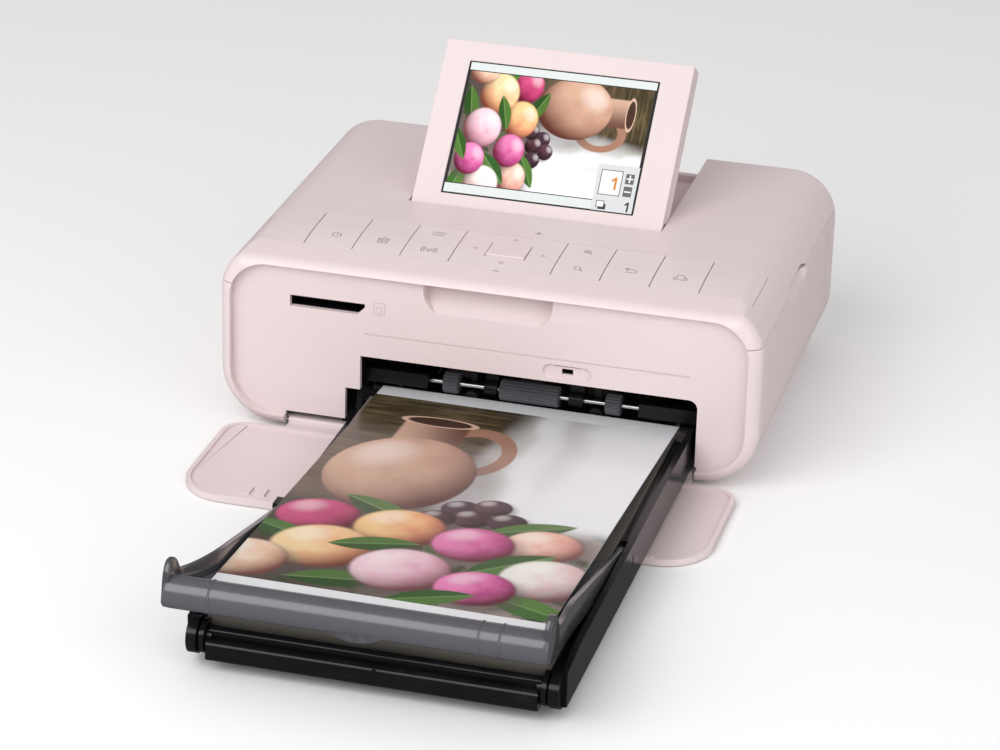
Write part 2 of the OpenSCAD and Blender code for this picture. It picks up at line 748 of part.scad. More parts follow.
// The display: a front frame with the hinge barrel, and a back shell
frame_t = 3;
front_w = disp_t / 2;
split_w = front_w - frame_t;
back_lap = 0.3;
glass_lap = 1.3;
module tilted() { translate([disp_x, disp_y, disp_z]) rotate([disp_tilt, 0, 0]) children(); }
screen_x = -0.6;
module display_frame() color("pink") tilted() difference() {
    union() {
        block(-disp_w / 2, disp_w / 2, 0, disp_l, split_w + 0.1, front_w);
        rod(-disp_w / 2, disp_w / 2, 0, 0, front_w);
    }
    block(screen_x - screen_w / 2, screen_x + screen_w / 2, screen_v, screen_v + screen_l,
          split_w - 1, front_w + 1);
    block(screen_x - screen_w / 2 - glass_lap, screen_x + screen_w / 2 + glass_lap,
          screen_v - 0.6, screen_v + screen_l + glass_lap, split_w - 1, front_w - 1.4);
    rod(-disp_w / 2 - 1, disp_w / 2 + 1, 0, 0, disp_pin_r + run);
}
module display_back() color("pink") tilted() difference() {
    union() {
        block(-disp_w / 2 - back_lap, disp_w / 2 + back_lap, front_w + 0.5, disp_l + back_lap,
              -front_w + 1.5, split_w);
        block(-disp_w / 2 - back_lap + 1.5, disp_w / 2 + back_lap - 1.5, front_w + 0.5,
              disp_l + back_lap - 1.5, -front_w, split_w);
        for (s = [-1, 1]) translate([s * (disp_w / 2 + back_lap - 1.5), front_w + 0.5, -front_w + 1.5])
            rotate([-90, 0, 0]) cylinder(h = disp_l + back_lap - front_w - 2, r = 1.5);
        rod(-disp_w / 2 - back_lap + 1.5, disp_w / 2 + back_lap - 1.5, disp_l + back_lap - 1.5,
            -front_w + 1.5, 1.5);
        for (s = [-1, 1])
            translate([s * (disp_w / 2 + back_lap - 1.5), disp_l + back_lap - 1.5, -front_w + 1.5]) sphere(1.5);
    }
    block(-disp_w / 2 + 1.5, disp_w / 2 - 1.5, front_w + 2, disp_l - 1.5, -front_w + 1.5, split_w + 1);
}
module lcd_glass() color("black") tilted() {
    block(screen_x - screen_w / 2 + 0.1, screen_x + screen_w / 2 - 0.1, screen_v + 0.1,
          screen_v + screen_l - 0.1, split_w + 0.6, front_w - 0.15);
    block(screen_x - screen_w / 2 - glass_lap + 0.2, screen_x + screen_w / 2 + glass_lap - 0.2,
          screen_v - 0.5, screen_v + screen_l + glass_lap - 0.2, split_w + 0.2, front_w - 1.55);
}
module lcd_module() color("silver") tilted()
    block(screen_x - 35.5, screen_x + 35.5, front_w + 2.2, screen_v + screen_l - 1, -front_w + 1.7, split_w + 0.05);
module display_pins() color("silver")
    for (s = [-1, 1])
        rod(disp_x + s * bay_w - pin_reach, disp_x + s * bay_w + pin_reach, disp_y, disp_z, disp_pin_r);

// Black frame of the mouth, with two hangers for the feed shaft
frame_wall = 2.2;
hangers = [[-2.9, 1.4], [25.6, 30.4]];
lip_ends = [-21.5, 49.5];
lip_y = 9.6;
lip_d = 3;
lump_r = 2.4;
lump_z = 15.3;
tunnel_end = chassis_y - 1;
module mouth_frame() color("black") difference() {
    union() {
        difference() {
            along_y(fascia_back + fit, tunnel_end) mouth_outline(frame_wall, floor_z + 0.1);
            along_y(0, tunnel_end + 1) mouth_outline(0, 0);
            block(notch_x0, notch_x1, 0, notch_y + 0.5, 0, notch_z);
        }
        // Barrels that carry the shaft
        for (h = hangers) {
            block(h[0], h[1], feed_y + 0.6, feed_y + 2.4, feed_z, mouth_z + 0.5);
            rod(h[0], h[1], feed_y, feed_z, 2.4);
        }
        // Lips before the shaft's ends
        block(step_x - 0.5, lip_ends[0], lip_y, lip_y + lip_d, step_z + 0.5, feed_z + 3.4);
        block(lip_ends[1], mouth_x1 + 0.5, lip_y, lip_y + lip_d, step_z + 0.5, feed_z + 3.4);
        // Round lumps below the shaft, each on a web from the roof
        for (x = [-7.2, 34.8]) {
            translate([x, feed_y - 1.8, lump_z]) rotate([-90, 0, 0]) cylinder(h = 4.6, r = lump_r);
            block(x - 1.1, x + 1.1, feed_y + 1.5, feed_y + 2.8, lump_z, mouth_z + 0.5);
        }
    }
    rod(mouth_x0 - 9, mouth_x1 + 9, feed_y, feed_z, feed_shaft_r + run);
    // Windows over the path, behind the rollers
    for (x = [mouth_x0 + 12, mouth_x1 - 34])
        block(x, x + 22, feed_y + 7, tunnel_end - 2, mouth_z - 1, mouth_z + 5);
}

module card_reader() color("silver") difference() {
    block(card_x0 - 3, card_x0 + card_w + 3, fascia_back + fit, fascia_back + 21, card_z - 1.8, card_z + 5.4);
    block(card_x0, card_x0 + card_w, 0, fascia_back + 18, card_z, card_z + 2.6);
}
module door_catch() color("dimgray") difference() {
    block(latch_x - 5, latch_x + 5, fascia_back + fit, fascia_back + 5, mouth_z + frame_wall + 0.15,
          latch_z + 3);
    block(latch_x - 2, latch_x + 2, 0, fascia_back + 3.6, latch_z - 1.1, latch_z + 1.1);
}
jack_d = 12;
module dc_jack() color("black") difference() {
    block(jack_x - 4.5, jack_x + 4.5, body_d - wall - 0.2 - jack_d, body_d - wall - 0.2, jack_z - 3.6, board_z);
    translate([jack_x, body_d - 8, jack_z]) rotate([-90, 0, 0]) cylinder(h = 20, r = 2.8);
}
module main_board() color("darkgreen") {
    difference() {
        block(-board_half, board_half, board_y0, board_y1, board_z, board_z + board_t);
        for (p = board_posts) translate([p[0], p[1], board_z - 1]) cylinder(h = 4, r = 1.6);
    }
    // Chips, capacitors and plugs under the board
    for (c = [[-40, 11, 14, 14, 1.6], [-12, 13, 10, 10, 1.2], [14, 9, 16, 6, 5]])
        block(c[0], c[0] + c[2], board_y0 + c[1], board_y0 + c[1] + c[3], board_z - c[4], board_z);
    for (x = [-34, -22, 24]) translate([x, board_y0 + 7, board_z - 6]) cylinder(h = 6, r = 2.5);
}

// Sheet-metal chassis: a floor and two side plates with the bearings' holes
head_y = 88;
head_z = 46.8;
head_pin_r = 1.5;
idler_reach = feed_teeth + idler_teeth;
idler_y = feed_y + idler_reach * gear_m / 2;
platen_y = idler_y + (idler_teeth + platen_teeth) * gear_m / 2;
platen_z = feed_z + 0.8;
nip_z = platen_z + platen_r;
idler_z = feed_z + 0.36;
grip_y = 37.5;
capstan_z = nip_z - grip_r;
pinch_z = nip_z + grip_r;
motor_y = platen_y + 14;
motor_z = platen_z + sqrt(pow((platen_teeth + pinion_teeth) * gear_m / 2, 2) - pow(motor_y - platen_y, 2));
spindle_r = 2.2;
axle_r = 2;
window_gap = 0.6;
module chassis() color("silver") difference() {
    union() {
        block(chassis_x0, chassis_x1, chassis_y, chassis_rear, chassis_z, chassis_z + sheet_metal_t);
        for (x = [chassis_x0, chassis_x1 - sheet_metal_t])
            block(x, x + sheet_metal_t, chassis_y, chassis_rear, chassis_z, chassis_top);
        // Fixed axle of the idler gear
        rod(gear_x - 0.6, chassis_x0 + 0.5, idler_y, idler_z, axle_r);
        rod(gear_x - 1.2, gear_x - 0.2, idler_y, idler_z, axle_r + 0.6);
    }
    across = [[platen_y, platen_z, platen_shaft_r], [grip_y, capstan_z, grip_shaft_r],
              [grip_y, pinch_z, grip_shaft_r], [head_y, head_z, head_pin_r]];
    for (b = across) rod(chassis_x0 - 1, chassis_x1 + 1, b[0], b[1], b[2] + run);
    for (y = [supply_y, takeup_y]) {
        rod(chassis_x0 - 1, chassis_x0 + 5, y, spool_z, spindle_r + run);
        rod(chassis_x1 - 3, chassis_x1 + 1, y, spool_z, tube_r + window_gap);
    }
    block(chassis_x1 - 3, chassis_x1 + 1, supply_y, takeup_y, spool_z - 4, spool_z + 4);
    for (p = chassis_posts) translate([p[0], p[1], 0]) cylinder(h = 20, r = screw_r - 0.3);
    for (x = [chassis_x0 + 24 : 24 : chassis_x1 - 24]) block(x - 6, x + 6, chassis_y + 16, chassis_rear - 14, 0, 20);
}

// Involute gear drawn in depth and height, with a tooth along its first axis
function involute(a) = tan(a) * 180 / PI - a;
function flank(n, rho) = 90 / n - 1.6 / n + involute(20)
    - involute(acos(min(1, n * gear_m / 2 * cos(20) / rho)));
module gear_outline(n) {
    root = n * gear_m / 2 - 1.2 * gear_m;
    tip = n * gear_m / 2 + 0.85 * gear_m;
    steps = [for (i = [0 : 4]) max(root, n * gear_m / 2 * cos(20) * 1.0001) * (1 - i / 4) + tip * i / 4];
    radii = concat([root], steps);
    polygon([for (k = [0 : n - 1], s = [-1, 1], i = [0 : len(radii) - 1])
        let (rho = s < 0 ? radii[i] : radii[len(radii) - 1 - i],
             a = k * 360 / n + s * flank(n, rho))
        [rho * cos(a), rho * sin(a)]]);
}
module gear(n, y, z, phase, hole) {
    along_x(gear_x, gear_x + gear_w) translate([y, z]) difference() {
        rotate(phase) gear_outline(n);
        circle(hole);
    }
}
// Phase of a gear whose mate has na teeth and the phase pa, in the direction dir
function mesh(na, pa, dir, nb) = dir + 180 - (0.5 - (dir - pa) * na / 360) * 360 / nb;
gear_x = chassis_x0 - 8;
feed_phase = 0;
dir_fi = atan2(idler_z - feed_z, idler_y - feed_y);
dir_ip = atan2(platen_z - idler_z, platen_y - idler_y);
dir_pm = atan2(motor_z - platen_z, motor_y - platen_y);
idler_phase = mesh(feed_teeth, feed_phase, dir_fi, idler_teeth);
platen_phase = mesh(idler_teeth, idler_phase, dir_ip, platen_teeth);
pinion_phase = mesh(platen_teeth, platen_phase, dir_pm, pinion_teeth);
gear_fit = 0.02;
shaft_r = platen_shaft_r;
module feed_gear() color("white") gear(feed_teeth, feed_y, feed_z, feed_phase, feed_shaft_r + gear_fit);
module idler_gear() color("white") gear(idler_teeth, idler_y, idler_z, idler_phase, axle_r + run);
module platen_gear() color("white") gear(platen_teeth, platen_y, platen_z, platen_phase, shaft_r + gear_fit);
module motor_pinion() color("gold") gear(pinion_teeth, motor_y, motor_z, pinion_phase, motor_shaft_r + gear_fit);

module feed_shaft() color("silver")
    rod(gear_x - 0.8, mouth_x1 + frame_wall + 0.8, feed_y, feed_z, feed_shaft_r);
wide_roller = [2, 22.3];
small_rollers = [[-17, -11.6], [37.7, 43]];
rib_n = 36;
module ribbed(x0, x1) along_x(x0, x1) translate([feed_y, feed_z]) difference() {
    polygon([for (i = [0 : 2 * rib_n - 1]) let (a = (i + 0.5) * 180 / rib_n, r = feed_r - (i % 2) * 0.25)
        [r * cos(a), r * sin(a)]]);
    circle(feed_shaft_r + gear_fit);
}
module feed_rollers() color("dimgray") {
    ribbed(wide_roller[0], wide_roller[1]);
    for (r = small_rollers) ribbed(r[0], r[1]);
}
in_x0 = chassis_x0 + sheet_metal_t;
in_x1 = chassis_x1 - sheet_metal_t;
module platen_roller() color("dimgray") {
    rod(in_x0 + 0.6, in_x1 - 0.6, platen_y, platen_z, platen_r);
    rod(gear_x - 0.8, chassis_x1 + 0.8, platen_y, platen_z, platen_shaft_r);
}
module capstan_roller() color("silver") {
    rod(in_x0 + 4, in_x1 - 4, grip_y, capstan_z, grip_r - 0.15);
    rod(chassis_x0 - 0.6, chassis_x1 + 0.8, grip_y, capstan_z, grip_shaft_r);
}
module pinch_roller() color("dimgray") {
    rod(in_x0 + 4, in_x1 - 4, grip_y, pinch_z, grip_r - 0.15);
    rod(chassis_x0 - 0.6, chassis_x1 + 0.8, grip_y, pinch_z, grip_shaft_r);
}
motor_l = 22;
bracket_x = gear_x - 2.4;
motor_shaft_r = 1;
module drive_motor() color("silver") difference() {
    union() {
        difference() {
            rod(bracket_x - motor_l, bracket_x, motor_y, motor_z, motor_r);
            block(bracket_x - motor_l - 1, bracket_x - 3, motor_y - 20, motor_y + 20,
                  motor_z + motor_r * 0.82, motor_z + 20);
        }
        rod(bracket_x, bracket_x + 1.15, motor_y, motor_z, 3);
    }
    rod(bracket_x - 9, bracket_x + 2, motor_y, motor_z, motor_shaft_r + run);
}
module motor_shaft() color("silver") rod(bracket_x - 8, gear_x + gear_w + 0.4, motor_y, motor_z, motor_shaft_r);
module motor_bracket() color("silver") {
    difference() {
        block(bracket_x + fit / 2, bracket_x + 1.2, motor_y - 6, chassis_rear - 1, motor_z - 14, motor_z + 13);
        rod(bracket_x - 1, bracket_x + 3, motor_y, motor_z, 3 + fit);
    }
    for (z = [motor_z - 10.5, motor_z + 9.5])
        rod(bracket_x + 1, chassis_x0 - fit / 2, chassis_rear - 5.5, z, 2.6);
}
// Thermal head on its arm, and the ribbon cassette round it
head_gap = 0.35;
head_w = 50.5;
module thermal_head() color("silver") {
    block(cas_x - 2 - head_w, cas_x - 2 + head_w, platen_y - 4, platen_y + 4, nip_z + head_gap, nip_z + 5);
    rod(cas_x - 2 - head_w, cas_x - 2 + head_w, platen_y, nip_z + head_gap + 0.8, 0.8);
    block(cas_x - 2 - head_w, cas_x - 2 + head_w, platen_y - 0.8, platen_y + 0.8, nip_z + 4, head_z + 1);
    difference() {
        union() {
            block(cas_x - 2 - head_w, cas_x - 2 + head_w, platen_y - 0.8, head_y, head_z - 0.2, head_z + 1);
            rod(in_x0 + 0.4, in_x1 - 0.4, head_y, head_z, 2.4);
        }
        for (x = [-24, 12]) block(x, x + 22, platen_y + 8, head_y - 6, head_z - 2, head_z + 2);
    }
    rod(chassis_x0 - 0.6, chassis_x1 + 0.6, head_y, head_z, head_pin_r);
}
tube_wall = 0.9;
tube_x0 = in_x0 + 1.2;
tube_x1 = chassis_x1 + 6;
module ribbon_shell() color("gray") difference() {
    union() {
        for (y = [supply_y, takeup_y]) rod(tube_x0, tube_x1, y, spool_z, tube_r);
        block(tube_x1 - 6.5, tube_x1, supply_y, takeup_y, spool_z - 3.4, spool_z + 3.4);
        block(tube_x0, tube_x0 + 2.4, supply_y, takeup_y, spool_z - 3.4, spool_z + 3.4);
    }
    for (y = [supply_y, takeup_y]) {
        rod(tube_x0 + 1, tube_x1 - 1, y, spool_z, tube_r - tube_wall);
        rod(tube_x0 - 1, tube_x1 + 1, y, spool_z, spindle_r + 0.8);
    }
    // Slits for the film, on the side of the head
    block(tube_x0 + 4, in_x1 - 3, supply_y + 2, supply_y + tube_r + 1, spool_z - tube_r - 1, spool_z - 3);
    block(tube_x0 + 4, in_x1 - 3, takeup_y - tube_r - 1, takeup_y - 2, spool_z - tube_r - 1, spool_z - 3);
}
module spool(y, film_r) {
    rod(tube_x0 + 1.6, tube_x1 - 1.6, y, spool_z, 3.6);
    rod(tube_x0 + 6, in_x1 - 5, y, spool_z, film_r);
    rod(chassis_x0 - 0.6, tube_x0 + 2, y, spool_z, spindle_r);
    rod(tube_x1 - 2, tube_x1 - 0.1, y, spool_z, spindle_r);
}
module supply_spool() color("goldenrod") spool(supply_y, 6);
module takeup_spool() color("darkgray") spool(takeup_y, 4.4);
module paper_guide() color("dimgray") {
    difference() {
        block(in_x0 + 3, in_x1 - 3, takeup_y, body_d - wall - 1.5, guide_z - 1.2, guide_z);
        for (x = [in_x0 + 14 : 16 : in_x1 - 14])
            block(x - 3, x + 3, chassis_rear + 2, body_d - wall - 8, guide_z - 2, guide_z + 1);
    }
    for (x = [[in_x0 + fit, in_x0 + 4], [in_x1 - 4, in_x1 - fit]])
        block(x[0], x[1], takeup_y, chassis_rear - 2, guide_z - 4, guide_z);
}

// Side door over the ribbon cassette, on two pins at its foot
module ink_door() color("pink") difference() {
    union() {
        intersection() {
            difference() {
                body_form(0);
                body_form(wall);
            }
            block(half - top_r, half + 1, side_y0, side_y1, side_z, seam_z - seam_gap / 2);
        }
        translate([side_x, side_y0, side_z]) rotate([-90, 0, 0])
            cylinder(h = side_y1 - side_y0, r = side_barrel_r);
    }
    finger_dip();
    for (l = side_lugs) {
        block(side_x - 8, half + 1, l[0] - lug_gap, l[1] + lug_gap, 0, side_z);
        translate([side_x, l[0] - lug_gap, side_z]) rotate([-90, 0, 0])
            cylinder(h = l[1] - l[0] + 2 * lug_gap, r = side_barrel_r + lug_gap);
    }
    translate([side_x, side_y0 - 1, side_z]) rotate([-90, 0, 0])
        cylinder(h = side_y1 - side_y0 + 2, r = side_pin_r + run);
}
module ink_door_pins() color("silver")
    for (l = side_lugs)
        translate([side_x, l[0] - 3.6, side_z]) rotate([-90, 0, 0])
            cylinder(h = l[1] - l[0] + 7.2, r = side_pin_r);

// Paper cassette
cas_y = -cas_front;
cas_in = cas_w - cas_wall;
wall_top = cas_z + cas_h;
nose_z1 = cas_z + nose_h;
lid_half = cas_in - arm_gap;
arm_in = lid_half - arm_t;
shelf_z = 13.9;
lid_x = arm_in - 0.6;
rib_top = 7.4;
cap_r = 5.6;
cap_in = 1.2;
ramp = 15;
ridge_h = 9.1;
beam = cas_w - 7.2;
module cas_side(s) {
    x0 = s > 0 ? cas_in : -cas_w;
    // Wall with a softened foot, lower towards the front
    translate([cas_x, 0, 0]) along_x(x0, x0 + cas_wall) {
        box2(cas_y + cap_r + ramp, cas_rear, cas_z + 2, wall_top);
        polygon([[cas_y + cap_r, cas_z], [cas_rear - 2, cas_z], [cas_rear - 2, cas_z + 3],
                 [cas_y + cap_r + ramp, wall_top], [cas_y + cap_r, cas_z + 2 * cap_r - 0.1]]);
        translate([cas_rear - 2, cas_z + 2]) circle(2);
    }
    // Round cap and a thin disc at the end of the front beam
    for (c = [[cap_in, cap_in + 3, cap_r], [cap_in + 3.8, cap_in + 5.2, cap_r - 0.4],
              [cap_in + 1, cas_w - beam + 1, cap_r - 2.4]])
        rod(cas_x + s * (cas_w - (s > 0 ? c[1] : c[0])), cas_x + s * (cas_w - (s > 0 ? c[0] : c[1])),
            cas_y + cap_r, cas_z + cap_r, c[2]);
}
module cassette_base() color("#222222") difference() {
    union() {
        for (s = [-1, 1]) cas_side(s);
        // Floor, and the low front wall with its rounded ridge
        block(cas_x - cas_w, cas_x + cas_w, cas_y + cap_r, cas_rear - 2, cas_z, cas_z + cas_floor);
        along_x(cas_x - beam, cas_x + beam) {
            box2(cas_y, cas_y + 4.1, cas_z + 1.4, nose_z1 - 2.05);
            box2(cas_y + 1.4, cas_y + cap_r + 1, cas_z, cas_z + 3);
            translate([cas_y + 1.4, cas_z + 1.4]) circle(1.4);
            translate([cas_y + 2.05, nose_z1 - 2.05]) circle(2.05);
            box2(cas_y + 3.6, cas_y + 7, cas_z, cas_z + ridge_h - 1.7);
            translate([cas_y + 5.3, cas_z + ridge_h - 1.7]) circle(1.7);
        }
        // Small button in the middle of the ridge
        translate([cas_x + 1.2, cas_y + 1, nose_z1 - 1.5]) rotate([90, 0, 0]) cylinder(h = 1.2, r = 0.8);
        // Ribs under the paper and shelves under the inner lid
        for (x = [-34, 0, 34]) block(cas_x + x - 1, cas_x + x + 1, cas_y + 8, -34, cas_z + 1, rib_top);
        for (s = [-1, 1], y = [[cas_y + 6, -lid_y - 34], [-lid_y + 8, 4]])
            translate([cas_x, 0, 0]) block(s > 0 ? lid_x - 0.4 : -cas_in - 0.1, s > 0 ? cas_in + 0.1 : 0.4 - lid_x,
                                           y[0], y[1], shelf_z - 1, shelf_z);
        block(cas_x - cas_w, cas_x + cas_w, cas_rear - 3.6, cas_rear - 2, cas_z, 7);
    }
    rod(cas_x - cas_w - 1, cas_x + cas_w + 1, -lid_y, lid_z, lid_pin_r + run);
}
module inner_lid() color("#44454a") {
    block(cas_x - lid_x, cas_x + lid_x, cas_y + 8, 4, shelf_z + 0.1, shelf_z + 1.3);
    block(cas_x - lid_x + 1, cas_x + lid_x - 1, cas_y + 8, cas_y + 9.6, shelf_z - 2, shelf_z + 0.2);
    for (s = [-1, 1]) block(cas_x + s * 24 - 0.6, cas_x + s * 24 + 0.6, cas_y + 14, -10, shelf_z + 1.2, shelf_z + 1.5);
}
plate_z = 6.2;
module pressure_plate() color("silver") {
    block(cas_x - 44, cas_x + 44, -30, 12, plate_z, plate_z + 1);
    // Bent tongues that press on the floor
    for (x = [-22, 18]) block(cas_x + x, cas_x + x + 4, -10, 6, cas_z + cas_floor + 0.1, plate_z + 0.1);
}
module paper_stack() color("beige")
    block(cas_x - paper_w / 2, cas_x + paper_w / 2, cas_y + 9.8 + 0.2, 13, rib_top + 0.1, rib_top + 0.1 + stack_h);

// Outer cover, drawn level with its hinge at the origin and its roll to the front
module tipped() { translate([cas_x, -lid_y, lid_z]) rotate([-lid_tilt, 0, 0]) children(); }
arm_top = 3;
arm_foot = 3.4;
foot_drop = 5;
flare_s = 68;
ear_n = 6.2;
floor_t = 1.6;
tab_r = 16;
tab_x = -1.8;
dip_n = 1.4;
ear_t = 2.2;
sweep_r = 7;
module arm(s) {
    x0 = s > 0 ? arm_in : -lid_half;
    reach = s > 0 ? roll_right : roll_left;
    along_x(x0, x0 + arm_t) {
        circle(arm_foot);
        polygon([[0, arm_top], [-flare_s - 4, arm_top], [-flare_s - 4, -arm_foot - foot_drop * 0.85],
                 [0, -arm_foot]]);
    }
    // Rim along the top edge, and the flare towards the roll's end
    block(s > 0 ? arm_in : -lid_half - 0.6, s > 0 ? lid_half + 0.6 : -arm_in, -flare_s, -6, arm_top - 0.8, arm_top);
    hull() {
        block(x0, x0 + arm_t, -flare_s - 0.5, -flare_s, -arm_foot - foot_drop * 0.78, arm_top);
        translate([s * (reach - lid_half), 0, 0])
            block(x0, x0 + arm_t, -roll_s, -roll_s + 0.5, -arm_foot - foot_drop, dip_n);
    }
    // Ear that stands up from the roll's end
    along_x(s > 0 ? reach - ear_t : -reach, s > 0 ? reach : ear_t - reach) {
        box2(-roll_s - 3.6, -roll_s + 2.4, roll_dn, ear_n - 3);
        translate([-roll_s - 0.6, ear_n - 3]) circle(3);
        difference() {
            box2(-roll_s, -roll_s + sweep_r + 1.2, roll_dn, ear_n - 3);
            translate([-roll_s + sweep_r + 2, dip_n + sweep_r - 0.4]) circle(sweep_r);
        }
    }
}
module outer_cover() color("#54555c") tipped() {
    for (s = [-1, 1]) {
        arm(s);
        rod(s > 0 ? lid_half - 0.5 : -cas_w + 0.2, s > 0 ? cas_w - 0.2 : -lid_half + 0.5, 0, 0, lid_pin_r);
    }
    // Floor from behind the hinge to the roll
    along_x(-arm_in - 0.5, arm_in + 0.5)
        polygon([[-15.8, 2], [-roll_s, roll_dn - 1.7], [-roll_s, roll_dn - 1.7 - floor_t], [-15.8, 2 - floor_t]]);
    rod(-roll_left, roll_right, -roll_s, roll_dn, roll_r);
    // Finger tab that hangs under the roll's front
    intersection() {
        along_y(-roll_s - 3.4, -roll_s - 2.2) translate([tab_x, roll_dn + tab_r - 6]) circle(tab_r);
        block(tab_x - 10, tab_x + 10, -roll_s - 5, -roll_s, roll_dn - 7, roll_dn - 2);
    }
    for (x = [-45, 34.2, 40.3]) ring(x - 0.4, x + 0.4, -roll_s, roll_dn, roll_r + ring_rise, roll_r - 0.5);
}
module printed_sheet() color("white")
    translate([0, 0, sheet_z]) rotate([-sheet_tilt, 0, 0])
        block(cas_x - paper_w / 2, cas_x + paper_w / 2, sheet_y - sheet_l, sheet_y, -sheet_t, 0);

// Front door lying on the table
module door_outline(g) {
    w = door_w - g;
    fr = door_far_r - g;
    nr = door_near_r - g;
    y0 = -door_far + g;
    y1 = -door_near - g;
    box2(-w, w, y0 + fr, y1 - nr);
    box2(fr - w, w - fr, y0, y0 + fr);
    box2(nr - w, w - nr, y1 - nr, y1);
    for (s = [-1, 1]) {
        translate([s * (w - fr), y0 + fr]) circle(fr);
        translate([s * (w - nr), y1 - nr]) circle(nr);
    }
}
door_rim = 1.6;
rim_rise = 0.8;
lip_rise = 0.4;
flap_gap = 1;
module front_door() color("pink") {
    difference() {
        translate([0, 0, door_z]) linear_extrude(door_t + rim_rise) door_outline(0);
        translate([0, 0, door_z + door_t]) linear_extrude(5) door_outline(door_rim);
    }
    // Raised lip along the far edge
    intersection() {
        translate([0, 0, door_z + door_t]) linear_extrude(rim_rise + lip_rise) door_outline(0);
        block(door_far_r - door_w, door_w - door_far_r, -door_far, -door_far + 2, 0, 9);
    }
    // Flap back to the hinge barrel in the notch
    difference() {
        union() {
            block(notch_x0 + flap_gap, notch_x1 - flap_gap, -door_near - 1, door_y, door_z + 0.6, door_z + 1.9);
            rod(notch_x0 + flap_gap, notch_x1 - flap_gap, door_y, door_hinge_z, door_barrel_r);
            block(notch_x0 + flap_gap, notch_x1 - flap_gap, door_y - door_barrel_r, door_y, door_z + 0.6,
                  door_hinge_z);
        }
        rod(notch_x0, notch_x1, door_y, door_hinge_z, door_pin_r + run);
    }
    // Two small pads and the latch's nub
    for (x = [21.2, 26.2])
        block(x - door_w, x - door_w + 3, 5 - door_far, 10 - door_far, door_z + door_t - 0.1, door_z + door_t + 0.7);
    block(latch_x - 1.6, latch_x + 1.6, -32, -29.6, door_z + door_t - 0.1, door_z + door_t + 1);
}
module door_pins() color("silver") {
    rod(notch_x0 - door_pin_l, notch_x0 + 6, door_y, door_hinge_z, door_pin_r);
    rod(notch_x1 - 6, notch_x1 + door_pin_l, door_y, door_hinge_z, door_pin_r);
}
module feet() color("dimgray")
    for (p = foot_places) translate([p[0], p[1], 0]) cylinder(h = foot_h + foot_sink - 0.02, r = foot_r);
module case_screws() color("silver")
    for (p = chassis_posts) translate([p[0], p[1], 0]) {
        translate([0, 0, floor_z - 1.6]) cylinder(h = 2.1, r = 2.8);
        translate([0, 0, floor_z]) cylinder(h = chassis_z - floor_z - 0.05, r = screw_r);
        translate([0, 0, floor_z]) cylinder(h = chassis_z - floor_z + 4, r = screw_r - 0.35);
    }

seat() top_cover();
seat() main_case();
seat() rear_cover();
seat() front_fascia();
seat() key_panel();
seat() key_board();
seat() key_mat();
seat() key(0);  // key_power
seat() key(1);  // key_home
seat() key(2);  // key_menu
seat() key(3);  // key_wireless
seat() nav_gimbal();
seat() nav_plate();
seat() key_ok();
seat() key(4);  // key_zoom_in
seat() key(5);  // key_zoom_out
seat() key(6);  // key_back
seat() key(7);  // key_print
seat() display_frame();
seat() display_back();
seat() lcd_glass();
seat() lcd_module();
seat() display_pins();
seat() mouth_frame();
seat() card_reader();
seat() door_catch();
seat() dc_jack();
seat() main_board();
seat() chassis();
seat() feed_shaft();
seat() feed_rollers();
seat() feed_gear();
seat() idler_gear();
seat() platen_roller();
seat() platen_gear();
seat() drive_motor();
seat() motor_shaft();
seat() motor_pinion();
seat() motor_bracket();
seat() capstan_roller();
seat() pinch_roller();
seat() thermal_head();
seat() ribbon_shell();
seat() supply_spool();
seat() takeup_spool();
seat() paper_guide();
seat() ink_door();
seat() ink_door_pins();
seat() cassette_base();
seat() inner_lid();
seat() pressure_plate();
seat() paper_stack();
seat() outer_cover();
seat() printed_sheet();
seat() front_door();
seat() door_pins();
seat() feet();
seat() case_screws();
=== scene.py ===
import json
import math
import bmesh
import bpy
from mathutils import Matrix, Vector
from mathutils.bvhtree import BVHTree


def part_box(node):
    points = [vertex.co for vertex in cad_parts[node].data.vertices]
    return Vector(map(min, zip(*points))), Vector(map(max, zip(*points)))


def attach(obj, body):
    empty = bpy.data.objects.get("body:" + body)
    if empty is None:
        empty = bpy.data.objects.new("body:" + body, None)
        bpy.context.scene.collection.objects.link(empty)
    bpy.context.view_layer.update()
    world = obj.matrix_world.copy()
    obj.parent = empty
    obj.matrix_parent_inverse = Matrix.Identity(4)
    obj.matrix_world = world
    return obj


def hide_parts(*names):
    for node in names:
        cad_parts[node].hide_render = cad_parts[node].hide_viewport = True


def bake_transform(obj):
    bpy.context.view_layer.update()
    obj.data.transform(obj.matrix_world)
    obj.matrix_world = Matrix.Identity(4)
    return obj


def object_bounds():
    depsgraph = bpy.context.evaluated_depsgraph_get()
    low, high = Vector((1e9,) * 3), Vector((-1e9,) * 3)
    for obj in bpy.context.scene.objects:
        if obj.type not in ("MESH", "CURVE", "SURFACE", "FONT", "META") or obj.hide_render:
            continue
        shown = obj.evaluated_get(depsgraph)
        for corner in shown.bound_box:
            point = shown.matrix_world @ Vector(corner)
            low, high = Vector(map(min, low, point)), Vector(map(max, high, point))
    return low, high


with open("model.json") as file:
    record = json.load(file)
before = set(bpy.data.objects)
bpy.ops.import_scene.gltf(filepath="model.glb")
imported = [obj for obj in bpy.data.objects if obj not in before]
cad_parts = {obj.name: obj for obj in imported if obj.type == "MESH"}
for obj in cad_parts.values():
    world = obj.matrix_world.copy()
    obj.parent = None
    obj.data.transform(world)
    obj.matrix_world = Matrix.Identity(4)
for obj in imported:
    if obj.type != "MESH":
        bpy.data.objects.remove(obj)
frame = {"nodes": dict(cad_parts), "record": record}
oldLow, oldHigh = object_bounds()
nodes = frame["nodes"]
bodyOf = {n: b for b, names in frame["record"]["behaviour"]["bodies"].items() for n in names}
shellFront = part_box("main_case")[0].y      # the body's front face
